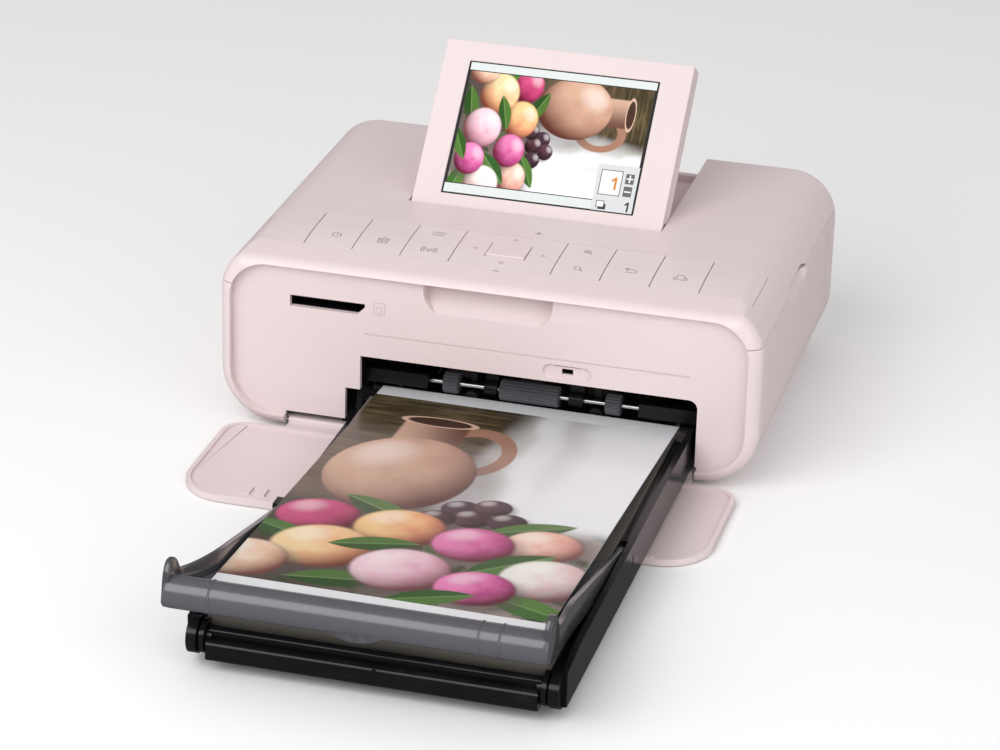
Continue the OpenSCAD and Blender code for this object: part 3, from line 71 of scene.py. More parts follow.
scene = bpy.context.scene
print("frame loaded,", len(nodes), "nodes")


# Millimetres from the middle of the body's front face, on the table
def at(x, y, z):
    return Vector((x * 0.001, y * 0.001 + shellFront, z * 0.001))


def leaning(origin, degrees):
    turn = Matrix.Rotation(math.radians(degrees), 4, "X")
    return lambda x, y, z: at(*(Vector(origin) + turn @ Vector((x, y, z))))


onScreen = leaning((0.5, 62.6, 59.1), 46.1)      # right, up the screen, out of it
onCover = leaning((12, -78, 12.2), -12.24)       # right, back, up from the cover's hinge
onSheet = leaning((0, 0, 16.55), -3.35)


# The view, fitted to the photograph's edges
camera = {"lens": 129.6, "elevation": 24.26, "turn": 14.592, "roll": 1.59,
          "shiftRight": -6.099, "shiftUp": -27.284, "distance": 1173.266}


def placeCamera(c):
    e, a, r = (math.radians(c[k]) for k in ("elevation", "turn", "roll"))
    back = Vector((math.sin(a) * math.cos(e), -math.cos(a) * math.cos(e), math.sin(e)))
    right = Vector((math.cos(a), math.sin(a), 0))
    up = back.cross(right)
    rightR = math.cos(r) * right + math.sin(r) * up
    upR = -math.sin(r) * right + math.cos(r) * up
    spot = at(*(-c["shiftRight"] * rightR - c["shiftUp"] * upR + c["distance"] * back))
    eye = bpy.data.objects.new("eye", bpy.data.cameras.new("eye"))
    eye.data.lens = c["lens"]
    eye.data.sensor_width = 36
    eye.data.clip_start = 0.05
    eye.data.clip_end = 20
    eye.matrix_world = Matrix((
        (rightR.x, upR.x, back.x, spot.x),
        (rightR.y, upR.y, back.y, spot.y),
        (rightR.z, upR.z, back.z, spot.z),
        (0, 0, 0, 1)))
    scene.collection.objects.link(eye)
    scene.camera = eye


placeCamera(camera)

lamps = {
    "keyLight": {"at": (-350, -780, 780), "aim": (0, 0, 30), "size": 0.9, "power": 8.1},
    "fillLight": {"at": (760, -560, 420), "aim": (0, 20, 30), "size": 0.9, "power": 2.6},
}
for name, lamp in lamps.items():
    light = bpy.data.lights.new(name, "AREA")
    light.shape = "SQUARE"
    light.size = lamp["size"]
    light.energy = lamp["power"]
    holder = bpy.data.objects.new(name, light)
    holder.location = at(*lamp["at"])
    holder.rotation_mode = "QUATERNION"
    holder.rotation_quaternion = (at(*lamp["aim"]) - holder.location).to_track_quat("-Z", "Y")
    scene.collection.objects.link(holder)

studio = {"worldColour": (1.0, 0.99, 0.99), "worldStrength": 0.57, "mirrored": 0.12,
          "floorColour": (0.97, 0.968, 0.968)}
world = bpy.data.worlds.new("studio")
scene.world = world
world.use_nodes = True
worldTree = world.node_tree
worldTree.nodes["Background"].inputs["Color"].default_value = (*studio["worldColour"], 1)
# Dark flags round the set: what mirrors the room sees less light than what it lights
rays = worldTree.nodes.new("ShaderNodeLightPath")
glow = worldTree.nodes.new("ShaderNodeMapRange")
glow.inputs["To Min"].default_value = studio["worldStrength"]
glow.inputs["To Max"].default_value = studio["mirrored"]
worldTree.links.new(rays.outputs["Is Glossy Ray"], glow.inputs["Value"])
worldTree.links.new(glow.outputs[0], worldTree.nodes["Background"].inputs["Strength"])
scene.view_settings.view_transform = "Standard"
print("camera and lights placed")


# Shared effects, and short ways to write their nodes
def newGroup(name, ins, outs):
    group = bpy.data.node_groups.new(name, "ShaderNodeTree")
    for label, kind, value in ins:
        socket = group.interface.new_socket(label, in_out="INPUT", socket_type="NodeSocket" + kind)
        if value is not None:
            socket.default_value = value
    for label, kind in outs:
        group.interface.new_socket(label, in_out="OUTPUT", socket_type="NodeSocket" + kind)
    return group, group.nodes.new("NodeGroupInput").outputs, group.nodes.new("NodeGroupOutput").inputs


def feed(tree, value, socket):
    if isinstance(value, bpy.types.NodeSocket):
        tree.links.new(value, socket)
    else:
        socket.default_value = value


def maths(tree, operation, a, b=0.0, c=None):
    node = tree.nodes.new("ShaderNodeMath")
    node.operation = operation
    feed(tree, a, node.inputs[0])
    feed(tree, b, node.inputs[1])
    if c is not None:
        feed(tree, c, node.inputs[2])
    return node.outputs[0]


def times(tree, a, b):
    return maths(tree, "MULTIPLY", a, b)


def apart(tree, a, b):
    return maths(tree, "ABSOLUTE", maths(tree, "SUBTRACT", a, b))


def parted(tree, vector):
    node = tree.nodes.new("ShaderNodeSeparateXYZ")
    tree.links.new(vector, node.inputs[0])
    return node.outputs[0], node.outputs[1]


def joined(tree, x, y):
    node = tree.nodes.new("ShaderNodeCombineXYZ")
    tree.links.new(x, node.inputs[0])
    tree.links.new(y, node.inputs[1])
    return node.outputs[0]


def vectorMaths(tree, operation, a, b=None, scale=None):
    node = tree.nodes.new("ShaderNodeVectorMath")
    node.operation = operation
    feed(tree, a, node.inputs[0])
    if b is not None:
        feed(tree, b, node.inputs[1])
    if scale is not None:
        feed(tree, scale, node.inputs["Scale"])
    return node.outputs["Value" if operation in ("LENGTH", "DOT_PRODUCT", "DISTANCE") else "Vector"]


def blendColours(tree, factor, a, b, how="MIX"):
    node = tree.nodes.new("ShaderNodeMix")
    node.data_type = "RGBA"
    node.blend_type = how
    feed(tree, factor, node.inputs[0])
    feed(tree, a, node.inputs[6])
    feed(tree, b, node.inputs[7])
    return node.outputs[2]


def rangeBetween(tree, value, low, high):
    node = tree.nodes.new("ShaderNodeMapRange")
    for label, number in (("Value", value), ("From Min", low), ("From Max", high)):
        feed(tree, number, node.inputs[label])
    return node


def stepBetween(tree, value, low, high):
    node = rangeBetween(tree, value, low, high)
    node.interpolation_type = "SMOOTHSTEP"
    return node.outputs[0]


def noiseAt(tree, vector, scale, detail=2.0, rough=0.5):
    node = tree.nodes.new("ShaderNodeTexNoise")
    feed(tree, vector, node.inputs["Vector"])
    feed(tree, scale, node.inputs["Scale"])
    node.inputs["Detail"].default_value = detail
    node.inputs["Roughness"].default_value = rough
    return node.outputs[0]


# Fine moulded grain: a height, and a slow drift in shade
def makeGrainGroup():
    group, into, out = newGroup(
        "mouldGrain",
        [("Grain Size", "Float", 0.0005), ("Drift Size", "Float", 0.05)],
        [("Height", "Float"), ("Drift", "Float"), ("Speckle", "Float")])
    place = group.nodes.new("ShaderNodeTexCoord").outputs["Object"]
    fine = noiseAt(group, place, maths(group, "DIVIDE", 1.0, into["Grain Size"]), 3.0, 0.6)
    slow = noiseAt(group, place, maths(group, "DIVIDE", 1.0, into["Drift Size"]), 2.0)
    tiny = noiseAt(group, place, maths(group, "DIVIDE", 2.3, into["Grain Size"]), 1.0)
    group.links.new(fine, out["Height"])
    group.links.new(slow, out["Drift"])
    group.links.new(stepBetween(group, tiny, 0.62, 0.75), out["Speckle"])
    return group


# Lighter rubbed edges, and painted shade that darkens the hollows
def makeWearAndShadeGroup():
    group, into, out = newGroup(
        "edgeWearAndHollowShade",
        [("Patch Size", "Float", 0.01)],
        [("Edge", "Float"), ("Hollow", "Float")])
    point = group.nodes.new("ShaderNodeNewGeometry").outputs["Pointiness"]
    place = group.nodes.new("ShaderNodeTexCoord").outputs["Object"]
    patch = noiseAt(group, place, maths(group, "DIVIDE", 1.0, into["Patch Size"]), 4.0, 0.65)
    edge = stepBetween(group, point, 0.52, 0.62)
    group.links.new(times(group, edge, stepBetween(group, patch, 0.4, 0.6)), out["Edge"])
    # Painted shade mask: where the surface is hollow
    group.links.new(stepBetween(group, point, 0.49, 0.42), out["Hollow"])
    return group


# Dust that settles on what faces up
def makeDustGroup():
    group, into, out = newGroup("settledDust", [("Patch Size", "Float", 0.03)], [("Mask", "Float")])
    facing = group.nodes.new("ShaderNodeNewGeometry").outputs["Normal"]
    up = vectorMaths(group, "DOT_PRODUCT", facing, (0, 0, 1))
    place = group.nodes.new("ShaderNodeTexCoord").outputs["Object"]
    patch = noiseAt(group, place, maths(group, "DIVIDE", 1.0, into["Patch Size"]), 5.0, 0.7)
    specks = noiseAt(group, place, 2600.0, 1.0)
    mask = times(group, stepBetween(group, up, 0.3, 0.95), stepBetween(group, patch, 0.45, 0.75))
    group.links.new(times(group, mask, stepBetween(group, specks, 0.5, 0.66)), out["Mask"])
    return group


grainGroup = makeGrainGroup()
wearAndShadeGroup = makeWearAndShadeGroup()
dustGroup = makeDustGroup()


def placeGroup(tree, group, **values):
    node = tree.nodes.new("ShaderNodeGroup")
    node.node_tree = group
    for label, value in values.items():
        feed(tree, value, node.inputs[label.replace("_", " ")])
    return node


def newFinish(name):
    finish = bpy.data.materials.new(name)
    finish.use_nodes = True
    tree = finish.node_tree
    return finish, tree, tree.nodes["Principled BSDF"]


def bumpInto(tree, shader, height, depth):
    bump = tree.nodes.new("ShaderNodeBump")
    bump.inputs["Strength"].default_value = depth
    bump.inputs["Distance"].default_value = 0.0001
    tree.links.new(height, bump.inputs["Height"])
    tree.links.new(bump.outputs[0], shader.inputs["Normal"])


# One finish for moulded, rubber, metal and paper pieces, told apart by its look
commonLook = {"drift": 0.06, "variation": 0.12, "paintedHollowShade": 0.25, "dust": 0.06, "roughSpread": 0.1,
              "specular": 0.5, "coat": 0.0, "coatRough": 0.1, "metal": 0.0,
              "wearPatch": 0.012, "dustPatch": 0.03, "dustColour": (0.6, 0.58, 0.56)}


def mouldedFinish(name, ownLook):
    look = {**commonLook, **ownLook}
    finish, tree, shader = newFinish(name)
    grain = placeGroup(tree, grainGroup, Grain_Size=look["grain"], Drift_Size=look["drift"])
    wearAndShade = placeGroup(tree, wearAndShadeGroup, Patch_Size=look["wearPatch"])
    dust = placeGroup(tree, dustGroup, Patch_Size=look["dustPatch"])
    base, worn, paintedHollowShade = look["colour"], look["worn"], look["hollow"]
    tone = blendColours(tree, times(tree, grain.outputs["Drift"], look["variation"]),
                        (*base, 1), (*[v * 0.9 for v in base], 1))
    tone = blendColours(tree, times(tree, wearAndShade.outputs["Edge"], 0.35), tone, (*worn, 1))
    # Painted shade: the hollows are darkened towards the look's hollow colour
    tone = blendColours(tree, times(tree, wearAndShade.outputs["Hollow"], look["paintedHollowShade"]),
                        tone, (*paintedHollowShade, 1))
    tone = blendColours(tree, times(tree, dust.outputs["Mask"], look["dust"]),
                        tone, (*look["dustColour"], 1))
    tree.links.new(tone, shader.inputs["Base Color"])
    rough = maths(tree, "MULTIPLY_ADD", grain.outputs["Drift"], look["roughSpread"],
                  look["rough"] - look["roughSpread"] / 2)
    rough = maths(tree, "ADD", rough, times(tree, dust.outputs["Mask"], 0.1))
    tree.links.new(rough, shader.inputs["Roughness"])
    shader.inputs["Specular IOR Level"].default_value = look["specular"]
    shader.inputs["Coat Weight"].default_value = look["coat"]
    shader.inputs["Coat Roughness"].default_value = look["coatRough"]
    shader.inputs["Metallic"].default_value = look["metal"]
    bumpInto(tree, shader, grain.outputs["Height"], look["depth"])
    return finish


# In each look, hollow is the colour of the painted shade laid in the hollows
looks = {
    "pinkShell": {"colour": (0.79, 0.67, 0.675), "worn": (0.86, 0.74, 0.73), "hollow": (0.55, 0.36, 0.36),
                  "rough": 0.42, "grain": 0.0005, "depth": 0.25},
    "pinkKeys": {"colour": (0.80, 0.685, 0.69), "worn": (0.86, 0.75, 0.74), "hollow": (0.55, 0.36, 0.36),
                 "rough": 0.38, "grain": 0.0004, "depth": 0.18},
    "blackPlastic": {"colour": (0.007, 0.007, 0.008), "worn": (0.03, 0.03, 0.032),
                     "hollow": (0.003, 0.003, 0.003), "rough": 0.2, "grain": 0.0006, "depth": 0.05,
                     "dust": 0.02, "specular": 0.32},
    "innerBlack": {"colour": (0.006, 0.006, 0.007), "worn": (0.016, 0.016, 0.018),
                   "hollow": (0.002, 0.002, 0.002), "rough": 0.34, "grain": 0.0006, "depth": 0.1,
                   "dust": 0.02, "specular": 0.2},
    "steelFinish": {"colour": (0.52, 0.52, 0.53), "worn": (0.7, 0.7, 0.7), "hollow": (0.2, 0.2, 0.2),
                    "rough": 0.28, "grain": 0.0003, "depth": 0.1, "metal": 1.0},
    "darkRubber": {"colour": (0.02, 0.02, 0.021), "worn": (0.05, 0.05, 0.05), "hollow": (0.01, 0.01, 0.01),
                   "rough": 0.75, "grain": 0.0004, "depth": 0.4},
    "rollerRubber": {"colour": (0.075, 0.077, 0.088), "worn": (0.12, 0.12, 0.13),
                     "hollow": (0.02, 0.02, 0.022), "rough": 0.62, "grain": 0.0003, "depth": 0.3},
    "boardGreen": {"colour": (0.02, 0.13, 0.06), "worn": (0.1, 0.25, 0.12), "hollow": (0.01, 0.05, 0.02),
                   "rough": 0.4, "grain": 0.0009, "depth": 0.2},
    "matRubber": {"colour": (0.62, 0.62, 0.60), "worn": (0.7, 0.7, 0.69), "hollow": (0.4, 0.4, 0.39),
                  "rough": 0.7, "grain": 0.0005, "depth": 0.3},
    "gearPlastic": {"colour": (0.75, 0.73, 0.66), "worn": (0.85, 0.84, 0.8), "hollow": (0.3, 0.28, 0.22),
                    "rough": 0.45, "grain": 0.0005, "depth": 0.2},
    "brassFinish": {"colour": (0.62, 0.42, 0.16), "worn": (0.8, 0.62, 0.3), "hollow": (0.25, 0.15, 0.05),
                    "rough": 0.3, "grain": 0.0003, "depth": 0.1, "metal": 1.0},
    "plainPaper": {"colour": (0.74, 0.69, 0.58), "worn": (0.8, 0.76, 0.68), "hollow": (0.5, 0.45, 0.36),
                   "rough": 0.8, "grain": 0.0004, "depth": 0.3},
    "ribbonPlastic": {"colour": (0.10, 0.10, 0.11), "worn": (0.2, 0.2, 0.21), "hollow": (0.03, 0.03, 0.03),
                      "rough": 0.4, "grain": 0.0006, "depth": 0.2},
    "goldFilm": {"colour": (0.55, 0.38, 0.1), "worn": (0.7, 0.5, 0.2), "hollow": (0.2, 0.12, 0.03),
                 "rough": 0.3, "grain": 0.0008, "depth": 0.1, "coat": 0.5},
}
finishes = {name: mouldedFinish(name, look) for name, look in looks.items()}
# The front door gets no painted shade in its hollows
finishes["pinkDoor"] = mouldedFinish("pinkDoor", {**looks["pinkShell"], "paintedHollowShade": 0.0})

# Smoke-tinted plastic: the roll, the arms, which let some light through, and the inner lid, which is opaque,
# with the paper and light seen through it painted into its colour
smoke = {"worn": (0.14, 0.145, 0.16), "hollow": (0.02, 0.02, 0.022), "grain": 0.0005, "coat": 0.5,
         "coatRough": 0.15, "refraction": 1.49}
smokeLooks = {
    "smokeCover": {"through": 0.0, "colour": (0.095, 0.096, 0.11), "rough": 0.26, "depth": 0.1},
    "smokeGlass": {"through": 0.12, "colour": (0.07, 0.07, 0.078), "worn": (0.2, 0.2, 0.21),
                   "rough": 0.2, "depth": 0.03},
    # Painted light: the inner lid's pale beige stands in for the paper and light seen through it, lightened
    # against the shade under the cover
    "smokeLidPaintedLight": {"through": 0.0, "colour": (0.16, 0.145, 0.125), "coat": 0.3, "rough": 0.2,
                 "depth": 0.03},
}


def smokeFinish(name, look):
    finish = mouldedFinish(name, look)
    shader = finish.node_tree.nodes["Principled BSDF"]
    shader.inputs["Transmission Weight"].default_value = look["through"]
    shader.inputs["IOR"].default_value = look["refraction"]
    return finish


finishes.update({name: smokeFinish(name, {**smoke, **look}) for name, look in smokeLooks.items()})
slotFinish = {
    "pink_shell": "pinkShell", "pink_keys": "pinkKeys", "black_plastic": "blackPlastic",
    "smoke_plastic": "smokeCover", "steel": "steelFinish", "roller_rubber": "rollerRubber",
    "dark_rubber": "darkRubber", "circuit_board": "boardGreen", "mat_rubber": "matRubber",
    "gear_plastic": "gearPlastic", "brass": "brassFinish", "screen": "blackPlastic",
    "photo_paper": "plainPaper", "plain_paper": "plainPaper", "ribbon_plastic": "ribbonPlastic",
    "gold_film": "goldFilm"}
nodeSlot = {part["node"]: part["material_slot"] for part in frame["record"]["subparts"]}
for name, thing in nodes.items():
    thing.data.materials.clear()
    thing.data.materials.append(finishes[slotFinish[nodeSlot[name]]])
print("finishes made")


def meshFrom(mesh, name):
    data = bpy.data.meshes.new(name)
    mesh.to_mesh(data)
    mesh.free()
    return data


def addPiece(name, data, finish):
    piece = bpy.data.objects.new(name, data)
    scene.collection.objects.link(piece)
    data.materials.append(finish)
    return piece


# The cassette's left wall is low but for the boss of the cover's hinge, as the photograph shows
lowWall = {"shelf": -38.5, "inner": -42, "above": 0.007, "squash": 0.2, "ramp": 1.5,
           "spans": ((-140, -82), (-74, 6)), "bossTop": 0.0148}


def stepDown(mesh, w):
    for y in (y for low, high in w["spans"] for y in (low - w["ramp"], low, high, high + w["ramp"])):
        beside = {v for v in mesh.verts if v.co.x < w["shelf"] * 0.001}
        wall = [v for v in mesh.verts if v in beside]
        wall += [e for e in mesh.edges if beside.issuperset(e.verts)]
        wall += [f for f in mesh.faces if beside.issuperset(f.verts)]
        bmesh.ops.bisect_plane(mesh, geom=wall, plane_co=at(0, y, 0), plane_no=(0, 1, 0))
    spans = [(at(0, low, 0).y - 1e-6, at(0, high, 0).y + 1e-6) for low, high in w["spans"]]
    for v in mesh.verts:
        if v.co.x > w["inner"] * 0.001 or v.co.z < w["above"]:
            continue
        if any(low < v.co.y < high for low, high in spans):
            v.co.z = w["above"] + (v.co.z - w["above"]) * w["squash"]
        elif spans[0][1] < v.co.y < spans[1][0]:
            v.co.z = min(v.co.z, w["bossTop"])


# Softened copies of the moulded parts, with the width of each one's edges in metres
edges = {"steps": 2, "sharperThan": 34, "flatWithin": 0.7, "weight": 80}


def softened(name, width, finish):
    mesh = bmesh.new()
    mesh.from_mesh(nodes[name].data)
    bmesh.ops.remove_doubles(mesh, verts=mesh.verts, dist=2e-6)
    bmesh.ops.dissolve_limit(mesh, angle_limit=math.radians(edges["flatWithin"]), verts=mesh.verts,
                             edges=mesh.edges)
    if name == "cassette_base":
        stepDown(mesh, lowWall)
    for face in mesh.faces:
        face.smooth = True
    piece = addPiece(name + "Soft", meshFrom(mesh, name + "Soft"), finishes[finish])
    bevel = piece.modifiers.new("edges", "BEVEL")
    bevel.width = width
    bevel.segments = edges["steps"]
    bevel.limit_method = "ANGLE"
    bevel.angle_limit = math.radians(edges["sharperThan"])
    bevel.use_clamp_overlap = True
    bevel.miter_outer = "MITER_ARC"
    weighted = piece.modifiers.new("shade", "WEIGHTED_NORMAL")
    weighted.keep_sharp = True
    weighted.weight = edges["weight"]
    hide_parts(name)
    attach(piece, bodyOf[name])


softParts = {
    "top_cover": 0.00030, "main_case": 0.00030, "rear_cover": 0.00030, "front_fascia": 0.00025,
    "key_panel": 0.00012, "key_power": 0.00015, "key_home": 0.00015, "key_menu": 0.00015,
    "key_wireless": 0.00015, "nav_plate": 0.00015, "key_ok": 0.00025, "key_zoom_in": 0.00015,
    "key_zoom_out": 0.00015, "key_back": 0.00015, "key_print": 0.00015, "display_frame": 0.0004,
    "display_back": 0.0004, "mouth_frame": 0.0004, "card_reader": 0.00015, "door_catch": 0.0002,
    "cassette_base": 0.0003, "inner_lid": 0.0002, "front_door": 0.0003, "ink_door": 0.0003,
    "feet": 0.0003, "dc_jack": 0.0002,
}
otherFinish = {"inner_lid": "smokeLidPaintedLight", "mouth_frame": "innerBlack", "card_reader": "innerBlack",
               "front_door": "pinkDoor"}
for name, width in softParts.items():
    softened(name, width, otherFinish.get(name, slotFinish[nodeSlot[name]]))
print("moulded parts softened,", len(softParts))


# The picture on the print and on the screen starts here
# A round fruit lit from the upper left
def makeFruitGroup():
    group, into, out = newGroup(
        "fruit",
        [("Place", "Vector", None), ("Middle", "Vector", (0, 0, 0)), ("Size", "Vector", (0.1, 0.1, 1)),
         ("Softness", "Float", 0.04), ("Flesh", "Color", (1, 1, 1, 1)), ("Blush", "Color", (1, 1, 1, 1)),
         ("Below", "Color", (0, 0, 0, 1))],
        [("Color", "Color")])
    away = vectorMaths(group, "SUBTRACT", into["Place"], into["Middle"])
    x, y = parted(group, vectorMaths(group, "DIVIDE", away, into["Size"]))
    flat = joined(group, x, y)
    reach = vectorMaths(group, "LENGTH", flat)
    square = times(group, reach, reach)
    height = maths(group, "SQRT", maths(group, "MAXIMUM", maths(group, "SUBTRACT", 1.0, square), 0.0))
    lit = maths(group, "ADD", times(group, x, -0.42),
                maths(group, "ADD", times(group, y, 0.52), times(group, height, 0.72)))
    blotch = noiseAt(group, vectorMaths(group, "ADD", flat, into["Middle"]), 1.6, 2.0)
    cheek = maths(group, "ADD", times(group, x, 0.55), maths(group, "MULTIPLY_ADD", blotch, 1.5, -0.75))
    skin = blendColours(group, stepBetween(group, cheek, -0.45, 0.5), into["Flesh"],
                        into["Blush"])
    fuzz = noiseAt(group, into["Place"], 55.0, 2.0)
    skin = blendColours(group, maths(group, "MULTIPLY_ADD", fuzz, 0.25, -0.03), skin, into["Flesh"])
    dark = blendColours(group, 1.0, skin, (0.20, 0.10, 0.10, 1), "MULTIPLY")
    shaded = blendColours(group, stepBetween(group, lit, -0.35, 0.8), dark, skin)
    shaded = blendColours(group, times(group, stepBetween(group, lit, 0.8, 1.03), 0.4),
                          shaded, (1, 0.96, 0.93, 1))
    # Shade that the fruit throws to its lower right
    throw = vectorMaths(group, "LENGTH", vectorMaths(group, "SUBTRACT", flat, (0.22, -0.25, 0)))
    under = blendColours(group, times(group, stepBetween(group, throw, 1.35, 0.8), 0.55),
                         into["Below"], (0.10, 0.07, 0.07, 1))
    inside = stepBetween(group, reach, maths(group, "ADD", 1.0, into["Softness"]),
                         maths(group, "SUBTRACT", 1.0, into["Softness"]))
    group.links.new(blendColours(group, inside, under, shaded), out["Color"])
    return group


# A pointed leaf with a pale middle vein
def makeLeafGroup():
    group, into, out = newGroup(
        "leaf",
        [("Place", "Vector", None), ("Middle", "Vector", (0, 0, 0)), ("Angle", "Float", 0.0),
         ("Long", "Float", 0.1), ("Wide", "Float", 0.04), ("Tint", "Color", (0.1, 0.3, 0.05, 1)),
         ("Below", "Color", (0, 0, 0, 1))],
        [("Color", "Color")])
    away = vectorMaths(group, "SUBTRACT", into["Place"], into["Middle"])
    turn = group.nodes.new("ShaderNodeVectorRotate")
    turn.rotation_type = "Z_AXIS"
    group.links.new(away, turn.inputs["Vector"])
    group.links.new(into["Angle"], turn.inputs["Angle"])
    x, y = parted(group, turn.outputs[0])
    along = maths(group, "DIVIDE", x, into["Long"])
    across = maths(group, "DIVIDE", maths(group, "ABSOLUTE", y), into["Wide"])
    edge = maths(group, "SUBTRACT", 1.0, times(group, along, along))
    edge = maths(group, "SUBTRACT", edge, across)
    rib = stepBetween(group, across, 0.1, 0.02)
    side = stepBetween(group, maths(group, "DIVIDE", y, into["Wide"]), -0.2, 0.2)
    tint = blendColours(group, times(group, side, 0.35), into["Tint"],
                        (0.16, 0.32, 0.06, 1))
    tint = blendColours(group, times(group, rib, 0.35), tint, (0.35, 0.5, 0.2, 1))
    inside = stepBetween(group, edge, -0.05, 0.12)
    group.links.new(blendColours(group, inside, into["Below"], tint), out["Color"])
    return group


fruitGroup = makeFruitGroup()
leafGroup = makeLeafGroup()

# Middle, size, flesh and blush, from the back of the table to its front; the picture is 1 by 1.48
fruits = [
    ((0.27, 0.88), (0.235, 0.29), (0.60, 0.37, 0.26), (0.46, 0.25, 0.17)),
    ((0.53, 0.68), (0.062, 0.062), (0.07, 0.03, 0.05), (0.03, 0.012, 0.02)),
    ((0.62, 0.72), (0.06, 0.06), (0.10, 0.04, 0.06), (0.04, 0.015, 0.025)),
    ((0.58, 0.62), (0.065, 0.065), (0.09, 0.035, 0.04), (0.035, 0.012, 0.02)),
    ((0.69, 0.63), (0.062, 0.062), (0.07, 0.03, 0.045), (0.03, 0.012, 0.02)),
    ((0.48, 0.59), (0.06, 0.06), (0.08, 0.035, 0.04), (0.03, 0.012, 0.018)),
    ((0.14, 0.49), (0.13, 0.12), (0.62, 0.08, 0.22), (0.42, 0.03, 0.12)),
    ((0.84, 0.50), (0.12, 0.11), (0.86, 0.60, 0.48), (0.76, 0.34, 0.28)),
    ((0.40, 0.48), (0.14, 0.135), (0.86, 0.56, 0.26), (0.74, 0.26, 0.14)),
    ((0.64, 0.44), (0.125, 0.12), (0.74, 0.20, 0.42), (0.52, 0.06, 0.24)),
    ((0.22, 0.28), (0.155, 0.15), (0.88, 0.66, 0.36), (0.82, 0.36, 0.18)),
    ((0.91, 0.27), (0.14, 0.14), (0.82, 0.78, 0.73), (0.74, 0.50, 0.50)),
    ((0.49, 0.20), (0.15, 0.145), (0.84, 0.60, 0.66), (0.72, 0.36, 0.46)),
    ((0.73, 0.15), (0.12, 0.115), (0.78, 0.22, 0.46), (0.50, 0.05, 0.24)),
    ((0.03, 0.13), (0.13, 0.13), (0.86, 0.76, 0.62), (0.80, 0.46, 0.30)),
]
# Middle, angle, half length, half width and tint; one lies behind each fruit from the seventh on
leaves = [
    ((0.30, 0.60), 0.5, 0.15, 0.055, (0.02, 0.07, 0.01)),
    ((0.77, 0.60), -0.5, 0.15, 0.05, (0.03, 0.10, 0.015)),
    ((0.52, 0.33), 1.3, 0.14, 0.06, (0.02, 0.06, 0.01)),
    ((0.06, 0.36), 0.35, 0.13, 0.05, (0.02, 0.08, 0.012)),
    ((0.78, 0.34), 2.4, 0.16, 0.06, (0.03, 0.10, 0.02)),
    ((0.36, 0.35), -0.3, 0.14, 0.05, (0.03, 0.09, 0.015)),
    ((0.33, 0.08), -0.2, 0.16, 0.06, (0.02, 0.07, 0.01)),
    ((0.90, 0.08), 0.35, 0.17, 0.06, (0.04, 0.14, 0.02)),
    ((0.62, 0.05), 2.7, 0.14, 0.05, (0.03, 0.10, 0.015)),
]


